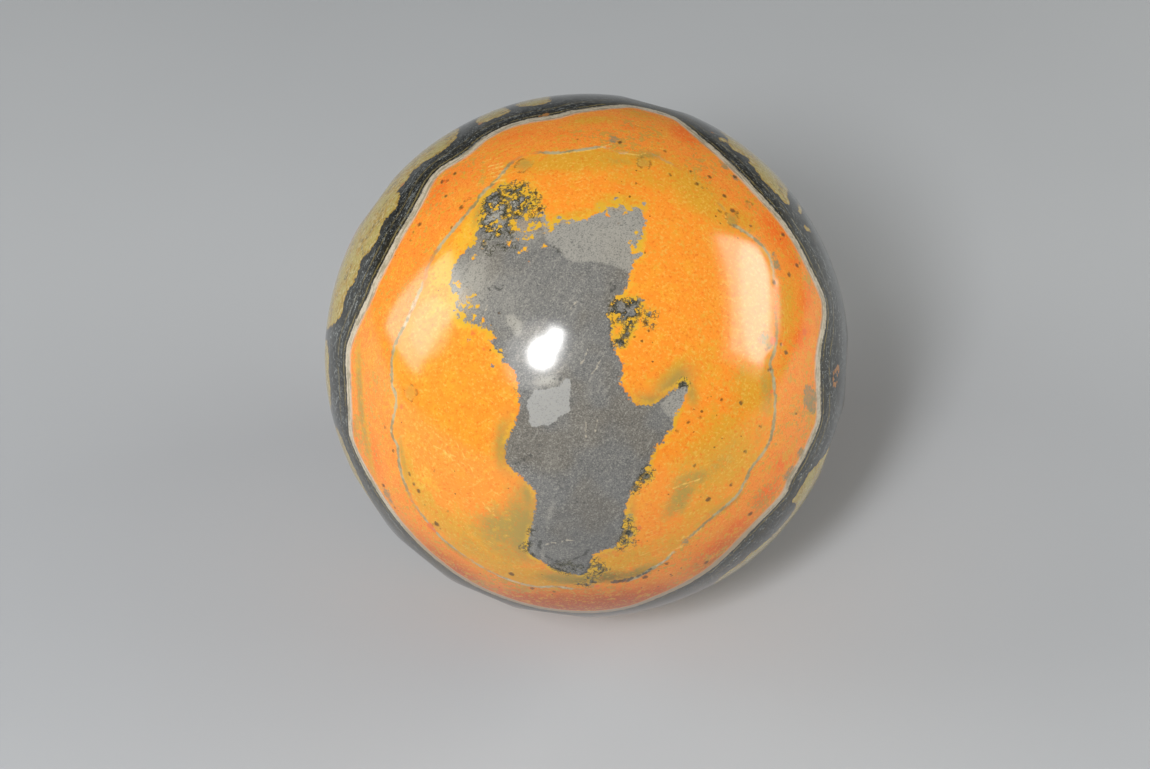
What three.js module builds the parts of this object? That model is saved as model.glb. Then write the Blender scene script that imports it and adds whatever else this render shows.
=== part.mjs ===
// A ball of banded jasper, ground and polished from one piece of stone. Millimetres, +Z up.
//
// The ball is one solid. It isn't perfectly round: hand lapping has left a few very shallow flats,
// most of them round the edge of its patterned face, and it stands on one of them, the resting flat.
// The origin is the middle of the resting flat. The patterned face looks forward and up, towards -Y
// and +Z. Its colours follow layers in the stone, which don't show in the shape.

import * as THREE from "three";
import { ConvexGeometry } from "three/addons/geometries/ConvexGeometry.js";
import { mergeVertices } from "three/addons/utils/BufferGeometryUtils.js";

const BALL_DIAMETER = 80;
const RESTING_FLAT_WIDTH = 12;

// How far the middle of the patterned face is turned up from level.
const FACE_ELEVATION = THREE.MathUtils.degToRad(45);

// The face's edge, as it shows from eight radii away, lies this share of a radius in front of the
// ball's middle.
const FACE_EDGE_FORWARD = 1 / 8;

// The lapped flats round the face's edge: the angle round the face, counter-clockwise from its
// right-hand side, in degrees, and how deep each one cuts into the ball.
const LAPPED_FLATS = [
  { name: "upper right", angle: 75, depth: 0.33 },
  { name: "upper left", angle: 144, depth: 0.25 },
  { name: "lower left, high", angle: 214, depth: 0.25 },
  { name: "lower left, low", angle: 231, depth: 0.28 },
  { name: "bottom left", angle: 247, depth: 0.27 },
  { name: "bottom", angle: 262, depth: 0.32 },
  { name: "right, low", angle: 341, depth: 0.36 },
  { name: "right", angle: 357, depth: 0.26 },
];

const GEODESIC_DETAIL = 15;
const FLAT_RIM_POINTS = 24;
// Points of the ball this close to a flat's rim are left out, so that no sliver faces form there.
const RIM_CLEARANCE = 0.8;

const radius = BALL_DIAMETER / 2;
const restingDepth = radius - Math.sqrt(radius ** 2 - (RESTING_FLAT_WIDTH / 2) ** 2);
const middleHeight = radius - restingDepth;

// A direction given by its angle round the patterned face and how far it leans out of the face.
function directionOnFace(angleDegrees, forward) {
  const angle = THREE.MathUtils.degToRad(angleDegrees);
  const right = new THREE.Vector3(1, 0, 0);
  const up = new THREE.Vector3(0, Math.sin(FACE_ELEVATION), Math.cos(FACE_ELEVATION));
  const out = new THREE.Vector3(0, -Math.cos(FACE_ELEVATION), Math.sin(FACE_ELEVATION));
  return new THREE.Vector3()
    .addScaledVector(right, Math.cos(angle))
    .addScaledVector(up, Math.sin(angle))
    .addScaledVector(out, forward)
    .normalize();
}

// A flat is a plane across the ball, at `distance` from its middle, with a round rim.
function makeFlat(direction, depth) {
  const distance = radius - depth;
  return { direction, distance, rimRadius: Math.sqrt(radius ** 2 - distance ** 2) };
}

function rimPoints(flat) {
  const turn = new THREE.Quaternion().setFromUnitVectors(
    new THREE.Vector3(0, 0, 1),
    flat.direction,
  );
  const points = [];
  for (let i = 0; i < FLAT_RIM_POINTS; i++) {
    const angle = (i / FLAT_RIM_POINTS) * 2 * Math.PI;
    points.push(
      new THREE.Vector3(
        flat.rimRadius * Math.cos(angle),
        flat.rimRadius * Math.sin(angle),
        flat.distance,
      ).applyQuaternion(turn),
    );
  }
  return points;
}

// Whether a point of the ball lies on a flat's cap or too near its rim.
function isNearFlat(point, flat) {
  const capAngle = Math.asin(flat.rimRadius / radius) + RIM_CLEARANCE / radius;
  return point.angleTo(flat.direction) < capAngle;
}

// The corners of an evenly divided ball.
function geodesicPoints() {
  const geometry = new THREE.IcosahedronGeometry(radius, GEODESIC_DETAIL);
  geometry.deleteAttribute("normal");
  geometry.deleteAttribute("uv");
  const positions = mergeVertices(geometry).getAttribute("position");
  const points = [];
  for (let i = 0; i < positions.count; i++) {
    points.push(new THREE.Vector3().fromBufferAttribute(positions, i));
  }
  return points;
}

// The ball with its flats is convex, so it is the hull of its own corners and the flats' rims.
function makeBallGeometry() {
  const flats = [
    makeFlat(new THREE.Vector3(0, 0, -1), restingDepth),
    ...LAPPED_FLATS.map(({ angle, depth }) =>
      makeFlat(directionOnFace(angle, FACE_EDGE_FORWARD), depth),
    ),
  ];
  const corners = geodesicPoints().filter(
    (point) => !flats.some((flat) => isNearFlat(point, flat)),
  );
  return new ConvexGeometry([...corners, ...flats.flatMap(rimPoints)]);
}

const polishedJasper = new THREE.MeshStandardMaterial({
  color: new THREE.Color().setRGB(0.86, 0.49, 0.17, THREE.SRGBColorSpace),
  roughness: 0.16,
  metalness: 0,
});

const ball = new THREE.Mesh(makeBallGeometry(), polishedJasper);
ball.name = "jasper_sphere";
ball.position.z = middleHeight;

const group = new THREE.Group();
group.add(ball);

export default group;
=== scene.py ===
"""A polished ball of banded jasper on its small resting flat, on a plain pale floor.

The ball is one fine mesh round the same middle as the frame's solid. Its pattern is laid out on a chart:
a map in millimetres over the ball's surface, measured from the middle of the patterned face, with X to
the right and Y up as the face is seen. The outlines and rings there are listed, the mesh keeps how
far each of its points is from them, and the stone's finish turns those distances into layers and stains.
"""
import logging
import math
from collections.abc import Callable, Iterable
from dataclasses import dataclass, field
from enum import Enum

import bmesh
import bpy
import numpy as np
from mathutils import Matrix, Vector


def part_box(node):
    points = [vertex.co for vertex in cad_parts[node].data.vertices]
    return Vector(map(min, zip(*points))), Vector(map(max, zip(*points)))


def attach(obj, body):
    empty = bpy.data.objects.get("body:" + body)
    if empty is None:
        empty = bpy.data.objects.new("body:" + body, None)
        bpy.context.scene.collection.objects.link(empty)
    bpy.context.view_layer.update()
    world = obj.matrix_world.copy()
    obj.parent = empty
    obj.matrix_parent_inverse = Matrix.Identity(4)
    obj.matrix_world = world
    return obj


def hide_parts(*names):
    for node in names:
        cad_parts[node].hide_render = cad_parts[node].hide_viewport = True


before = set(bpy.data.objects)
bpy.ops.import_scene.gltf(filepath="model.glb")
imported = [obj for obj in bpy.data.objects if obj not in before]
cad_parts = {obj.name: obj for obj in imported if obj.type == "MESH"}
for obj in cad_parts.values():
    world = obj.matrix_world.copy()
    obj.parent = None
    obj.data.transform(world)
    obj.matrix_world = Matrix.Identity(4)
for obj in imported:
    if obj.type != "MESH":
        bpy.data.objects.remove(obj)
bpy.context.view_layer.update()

NODE = "jasper_sphere"
BODY = "root"
WHITE = (1.0, 1.0, 1.0)
WARM = (1.0, 0.98, 0.90)
METRES = 0.001
TINY = 1e-9

Field = np.ndarray
Place = tuple[float, float]
Colour = tuple[float, float, float, float]
Socket = bpy.types.NodeSocket
Value = Socket | float
StrokeRow = tuple[float | Place, ...]

log = logging.getLogger("jasper")


def srgb(red: int, green: int, blue: int) -> Colour:
    """Turn a colour as a screen shows it into the shader's linear one.

    Args:
        red: Red, from 0 to 255.
        green: Green, from 0 to 255.
        blue: Blue, from 0 to 255.

    Returns:
        The linear colour, opaque.
    """
    def linear(level: int) -> float:
        """Undo the screen's curve for one channel."""
        share = level / 255
        return share / 12.92 if share <= 0.04045 else ((share + 0.055) / 1.055) ** 2.4

    return (linear(red), linear(green), linear(blue), 1.0)


def smooth_step(values: Field, low: float, high: float) -> Field:
    """Rise smoothly from 0 at low to 1 at high."""
    share = np.clip((values - low) / (high - low), 0, 1)
    return share * share * (3 - 2 * share)


class Reading(Enum):
    """What each point of the ball's mesh keeps about its place in the pattern."""

    HEART = "heart"
    LOBE = "lobe"
    CRYSTAL = "crystal"
    VEIN = "vein"
    RIND = "rind"
    DEPTH = "depth"
    NODULE = "nodule"
    GOLD = "gold"
    OLIVE = "olive"
    YELLOW = "yellow"
    RED = "red"
    # Painted shade: how strongly the lower part of the ball is darkened, where the light falls off.
    SHADE = "shade"
    PALE = "pale"
    MOTTLE = "mottle"
    HALO = "halo"
    LACE = "lace"
    MOSS = "moss"
    SPECK = "speck"
    LOST_VEIN = "lost_vein"
    CRUST = "crust"
    CRACK = "crack"
    SCRATCH = "scratch"
    DARK_SPOT = "dark_spot"
    GREY_SPOT = "grey_spot"
    RUST_SPOT = "rust_spot"
    RINGED_SPOT = "ringed_spot"


class Sum(Enum):
    """A sum that the shader does with numbers, as the shader names it."""

    ADD = "ADD"
    SUBTRACT = "SUBTRACT"
    MULTIPLY = "MULTIPLY"
    ABSOLUTE = "ABSOLUTE"
    LEAST = "MINIMUM"
    MOST = "MAXIMUM"


class LampShape(Enum):
    """The shape of a soft light, as Blender names it."""

    RECTANGLE = "RECTANGLE"
    ELLIPSE = "ELLIPSE"


# The grey heart of the face, from its upper left corner round by the right.
HEART = (
    (-15.0, 24.3), (-13.9, 24.9), (-13.1, 24.2), (-12.6, 23.0), (-11.9, 22.3), (-11.8, 20.6),
    (-11.0, 19.7), (-10.2, 20.4), (-9.3, 20.2), (-8.7, 19.4), (-7.8, 19.8), (-6.5, 19.8),
    (-5.8, 19.0), (-5.3, 17.9), (-4.6, 18.3), (-4.1, 19.8), (-3.5, 19.4), (-2.8, 18.8),
    (-1.5, 19.2), (0.4, 19.5), (1.2, 20.5), (2.6, 20.7), (3.9, 21.3), (6.2, 21.3), (7.6, 21.4),
    (8.2, 20.4), (8.5, 19.2), (8.3, 18.0), (7.9, 16.7), (7.0, 16.1), (7.6, 14.3), (7.2, 13.5),
    (6.5, 13.3), (6.1, 11.5), (5.6, 9.8), (5.0, 8.6), (4.0, 7.9), (3.2, 7.0), (3.0, 5.6),
    (3.3, 4.2), (3.2, 2.4), (3.7, 1.2), (3.9, 0.2), (4.7, -0.8), (5.0, -1.8), (4.6, -3.0),
    (4.8, -4.1), (5.6, -5.3), (6.5, -6.5), (8.3, -6.9), (9.7, -6.5), (11.0, -5.4), (12.4, -4.5),
    (13.4, -3.5), (14.1, -4.4), (13.8, -5.8), (13.0, -7.3), (12.2, -8.8), (11.9, -10.0),
    (11.2, -11.2), (10.7, -12.2), (9.7, -12.6), (9.2, -13.9), (8.9, -15.2), (8.4, -16.4),
    (7.4, -17.6), (6.7, -18.9), (6.1, -20.3), (5.8, -22.0), (5.5, -24.0), (5.5, -26.0),
    (5.1, -28.0), (4.1, -29.4), (2.6, -30.0), (1.3, -30.7), (0.8, -32.0), (0.1, -34.9),
    (-1.4, -35.7), (-3.2, -35.2), (-4.6, -34.8), (-5.8, -33.9), (-7.2, -32.6), (-8.7, -31.5),
    (-9.3, -30.2), (-9.0, -28.6), (-8.0, -24.6), (-7.6, -22.6), (-7.3, -20.8), (-7.6, -19.3),
    (-8.4, -18.2), (-9.6, -17.1), (-10.8, -16.1), (-11.5, -14.9), (-11.5, -13.2), (-11.0, -11.6),
    (-10.3, -10.0), (-9.7, -8.6), (-9.3, -6.5), (-9.4, -3.6), (-9.8, -2.3), (-10.8, -1.2),
    (-11.6, -0.9), (-11.2, 0.1), (-12.2, 0.7), (-13.2, 1.6), (-13.5, 3.8), (-14.4, 3.8),
    (-15.3, 4.2), (-16.6, 4.5), (-17.8, 5.1), (-18.8, 5.9), (-18.6, 7.2), (-18.9, 8.4),
    (-19.5, 9.5), (-19.8, 12.3), (-19.1, 13.5), (-18.4, 14.7), (-17.2, 15.7), (-16.2, 16.7),
    (-16.2, 18.0), (-15.6, 19.4), (-15.3, 21.0), (-15.4, 22.6),
)

# Islands of the heart's sand that stand apart in the orange: middle X and Y, and radius.
ISLANDS = (
    (-13.8, 23.0, 0.8), (-13.6, 22.0, 1.0), (-13.4, 20.9, 1.1), (-13.1, 19.8, 1.0), (-12.7, 18.9, 0.8),
    (-10.4, 22.4, 1.0), (-9.6, 23.0, 0.7), (-10.3, 21.6, 0.7),
    (-8.6, 23.4, 0.4), (-11.6, 24.6, 0.5), (-10.2, 24.9, 0.4),
    (-12.2, 25.4, 0.3), (-7.9, 22.2, 0.3), (-9.0, 21.2, 0.4), (-6.4, 20.6, 0.35), (-13.0, 26.0, 0.3),
    (4.2, 6.9, 0.8), (4.4, 6.2, 0.7), (5.4, 6.5, 0.8), (6.3, 6.8, 0.8), (6.2, 5.9, 0.8), (5.2, 5.4, 0.6),
    (3.5, 6.2, 0.5), (4.6, 4.8, 0.3), (6.0, 4.7, 0.35), (5.7, 4.1, 0.3), (7.0, 7.4, 0.35),
    (5.8, 4.0, 0.35), (5.4, 2.9, 0.35), (4.6, 1.8, 0.5), (8.6, 5.6, 0.3), (7.6, 7.4, 0.3),
    (4.2, 22.8, 0.35), (2.0, 21.6, 0.3), (8.4, 22.0, 0.25), (-16.6, 2.2, 0.25), (-13.0, -1.4, 0.25),
    (6.2, -24.2, 0.35), (6.4, -26.8, 0.55), (5.9, -28.4, 0.35), (8.6, -17.1, 0.4), (2.0, -34.0, 0.3),
)

# Crumbs of the yellow stone inside the heart.
CRUMBS = (
    (-10.7, 18.9, 0.55), (-10.4, 17.9, 0.4), (-8.0, 18.4, 0.4), (-7.0, 18.6, 0.45), (-6.2, 17.4, 0.4),
    (-7.6, 17.0, 0.3), (-8.8, 16.6, 0.3), (-5.6, 18.6, 0.3), (-12.0, 20.0, 0.4), (-13.4, 19.6, 0.35),
    (-14.4, 18.4, 0.3), (-13.0, 17.6, 0.25), (-12.6, 18.6, 0.25), (-14.8, 16.2, 0.25), (-11.2, 16.0, 0.2),
    (-8.6, 15.0, 0.3), (-9.6, 14.6, 0.25), (-16.4, 14.2, 0.3), (-8.2, 12.9, 0.2), (-6.0, 15.4, 0.2),
    (-19.0, 8.6, 0.4), (-18.2, 7.2, 0.45), (-17.2, 6.6, 0.4), (-16.6, 7.4, 0.3), (-17.8, 5.9, 0.4),
    (-15.8, 5.6, 0.35), (-15.6, 7.0, 0.3), (-16.2, 8.6, 0.25), (-18.6, 10.2, 0.3), (-14.4, 5.0, 0.3),
    (6.0, 16.0, 0.3), (6.6, 14.9, 0.35), (7.2, 17.4, 0.3), (3.0, 20.2, 0.3), (5.4, 20.6, 0.3),
    (12.4, -9.0, 0.25), (-12.8, 2.6, 0.25), (-13.8, 21.6, 0.3), (-12.9, 22.4, 0.3), (-14.2, 22.6, 0.3),
)

# Paler sand inside the heart, where it is cut off sharply against the darker.
LOBES = {
    "top right": (
        (-5.8, 16.6), (-4.6, 15.2), (-3.6, 14.2), (-2.8, 13.5), (-1.2, 12.9), (0.6, 13.0),
        (2.4, 12.7), (4.2, 12.2), (6.5, 11.6), (10, 14), (9, 23), (0, 22), (-6.0, 21.0),
    ),
    "horn": (
        (10.2, -6.8), (11.2, -8.2), (12.3, -9.2), (13.8, -7.0), (14.6, -4.6), (13.0, -4.4), (11.5, -5.6),
    ),
}

# The pale crystal in the heart.
CRYSTALS = {
    "crystal": (
        (-3.6, -4.0), (-3.0, -3.2), (-2.4, -3.0), (-2.2, -3.8), (-2.2, -4.8), (-2.4, -5.8),
        (-2.3, -6.8), (-2.2, -7.5), (-3.0, -7.9), (-3.8, -8.5), (-4.6, -9.2), (-5.3, -9.6),
        (-6.2, -9.6), (-7.0, -9.9), (-7.7, -9.6), (-8.0, -9.0), (-7.8, -8.2), (-8.0, -7.5),
        (-8.2, -6.8), (-8.0, -6.0), (-7.5, -5.3), (-7.1, -4.8), (-6.0, -4.6), (-4.8, -4.4),
    ),
}

# The thin pale vein that rings the face between its two orange zones.
VEIN = (
    (-27.3, 5.0), (-28.6, 3.0), (-29.7, 1.0), (-30.1, -1.5), (-30.1, -4.4), (-29.5, -6.0),
    (-29.6, -8.0), (-30.5, -10.3), (-31.0, -12.2), (-30.7, -13.3), (-30.0, -14.4), (-30.2, -16.6),
    (-30.1, -19.5), (-29.4, -22.5), (-28.4, -25.2), (-26.8, -27.7), (-25.4, -30.0),
    (-23.4, -32.2), (-20.8, -34.3), (-18.2, -36.1), (-14.8, -38.2), (-11.8, -39.3), (-8.6, -39.9),
    (-5.3, -39.3), (-2.0, -39.7), (1.5, -39.3), (4.5, -38.5), (8.0, -37.2), (10.5, -35.2),
    (12.8, -33.3), (13.6, -32.0), (15.4, -30.6), (16.0, -29.2), (17.8, -27.2), (20.0, -25.2),
    (22.3, -23.3), (24.0, -21.6), (24.7, -19.8), (25.7, -17.2), (27.4, -15.3), (28.6, -13.0),
    (29.0, -9.5), (28.7, -5.0), (27.8, -1.2), (28.6, 0.6), (29.1, 4.0), (29.1, 9.0), (29.3, 13.5),
    (28.4, 16.5), (26.2, 18.4), (23.6, 19.8), (21.6, 20.6), (21.6, 22.3), (19.5, 25.0),
    (16.0, 28.5), (12.0, 31.2), (9.0, 32.3), (5.5, 31.9), (2.5, 33.0), (-1.0, 32.3), (-5.0, 31.8),
    (-8.5, 32.2), (-11.3, 31.0), (-12.8, 28.9), (-14.0, 27.0), (-15.9, 25.0), (-17.3, 22.6),
    (-19.8, 19.4), (-21.6, 17.2), (-23.6, 14.0), (-24.5, 11.0), (-25.3, 9.0),
)

# The middle of the white rind, outside which the stone is charcoal.
RIND = (
    (-35.9, 9.0), (-38.9, 5.0), (-41.0, 1.5), (-41.4, -0.8), (-41.3, -5.0), (-41.9, -10.0),
    (-42.9, -14.6), (-42.2, -17.2), (-40.5, -20.2), (-37.8, -24.5), (-34.3, -30.3), (-31.0, -34.8),
    (-27.2, -39.0), (-23.0, -43.0), (-19.5, -45.2), (-15.0, -47.0), (-10.0, -48.6), (-4.0, -49.6),
    (2.0, -49.6), (8.0, -48.0), (13.0, -44.7), (18.0, -41.6), (21.7, -38.6), (24.3, -35.4),
    (26.8, -32.0), (29.8, -28.6), (33.2, -25.5), (34.6, -23.8), (35.2, -21.0), (37.2, -18.0),
    (38.9, -14.8), (40.3, -11.8), (40.3, -9.8), (39.3, -5.0), (38.9, -1.2), (39.6, 2.2),
    (41.1, 5.6), (41.8, 8.8), (41.2, 11.0), (38.6, 15.0), (36.1, 19.3), (33.0, 23.4),
    (29.2, 27.4), (25.6, 31.9), (22.1, 36.2), (19.7, 39.3), (17.9, 42.6), (16.7, 44.4),
    (14.8, 45.4), (11.0, 46.5), (8.6, 46.9), (5.5, 45.9), (1.5, 44.5), (-2.5, 43.2), (-5.5, 41.8),
    (-10.5, 41.2), (-14.3, 40.0), (-17.5, 37.8), (-19.8, 35.0), (-22.3, 33.2), (-25.2, 31.6),
    (-26.6, 29.2), (-27.2, 26.4), (-28.5, 23.0), (-30.4, 19.4), (-32.1, 15.8), (-34.3, 12.0),
)

# The tan nodules in the charcoal. They run on past the edge of what the face shows.
NODULES = {
    "upper left": (
        (-25.2, 43.5), (-24.9, 41.5), (-25.4, 39.2), (-27.7, 37.4), (-31.3, 36.1), (-33.0, 34.6),
        (-33.3, 32.8), (-34.8, 30.6), (-33.6, 28.6), (-33.3, 26.8), (-34.5, 24.8), (-36.0, 23.8),
        (-36.2, 21.5), (-36.7, 19.8), (-38.5, 18.2), (-40.4, 17.0), (-40.4, 15.4), (-41.5, 13.2),
        (-43.8, 11.4), (-44.3, 9.6), (-44.6, 7.8), (-47.0, 6.4), (-51.5, 5.5), (-56.0, 5.4),
        (-61.5, 8.0), (-63.0, 16.0), (-60.0, 24.0), (-57.0, 33.0), (-49.0, 40.0), (-45.0, 48.0),
        (-37.0, 52.0), (-31.0, 52.5), (-27.5, 49.0), (-26.0, 46.0),
    ),
    "left": (
        (-54.5, 3.4), (-51.5, 1.6), (-50.6, -1.0), (-51.3, -3.2), (-50.8, -5.6), (-51.5, -8.0),
        (-53.2, -10.6), (-57.0, -13.0), (-62.0, -14.0), (-66.0, -6.0), (-64.5, 1.0), (-59.5, 3.6),
    ),
    "lower left": (
        (-51.0, -15.0), (-48.4, -17.4), (-46.6, -21.0), (-45.2, -25.0), (-44.0, -28.6),
        (-42.9, -32.0), (-43.4, -36.0), (-46.0, -41.0), (-52.0, -42.0), (-57.0, -33.0),
        (-61.0, -23.0), (-57.0, -16.0),
    ),
    "top, brown": (
        (-23.0, 50.0), (-22.0, 46.6), (-20.3, 44.6), (-18.4, 45.2), (-16.2, 46.0), (-15.0, 47.6),
        (-16.2, 50.0), (-18.5, 54.0), (-22.5, 54.5),
    ),
    "top": (
        (-14.6, 52.0), (-13.5, 49.5), (-11.5, 48.3), (-9.0, 48.2), (-7.4, 49.6), (-7.6, 53.0),
        (-9.0, 58.0), (-13.0, 58.5),
    ),
    "upper right": (
        (28.4, 48.0), (27.7, 46.0), (28.0, 44.0), (27.2, 40.5), (27.2, 38.5), (29.6, 38.1),
        (31.0, 37.3), (30.4, 35.8), (31.4, 34.0), (31.8, 32.2), (33.4, 31.0), (35.0, 29.6),
        (36.4, 28.4), (38.3, 28.5), (38.6, 30.4), (40.6, 33.0), (43.4, 36.4), (47.0, 40.0),
        (46.0, 48.0), (40.0, 54.0), (33.0, 57.0), (29.0, 53.0),
    ),
    "lower right": (
        (49.5, -18.0), (46.5, -19.8), (43.4, -21.0), (41.0, -22.4), (39.8, -24.8), (38.3, -27.0),
        (40.3, -28.5), (41.2, -30.6), (40.2, -32.8), (38.2, -34.8), (35.8, -36.7), (32.5, -38.4),
        (30.5, -40.8), (28.0, -42.8), (26.8, -45.6), (28.0, -50.0), (34.0, -54.5), (42.0, -50.0),
        (51.0, -41.0), (57.0, -30.0), (57.0, -21.0), (53.0, -17.0),
    ),
    "gold drop": ((25.6, 41.8), (26.6, 42.2), (27.0, 41.2), (26.0, 40.4), (25.3, 40.8)),
    "gold bean": ((41.0, 24.5), (42.0, 24.9), (43.2, 24.3), (42.4, 23.5), (41.2, 23.6)),
    "brown streak": ((41.4, 28.0), (42.6, 30.4), (44.4, 31.6), (43.6, 29.2), (42.2, 27.8)),
}
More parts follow.
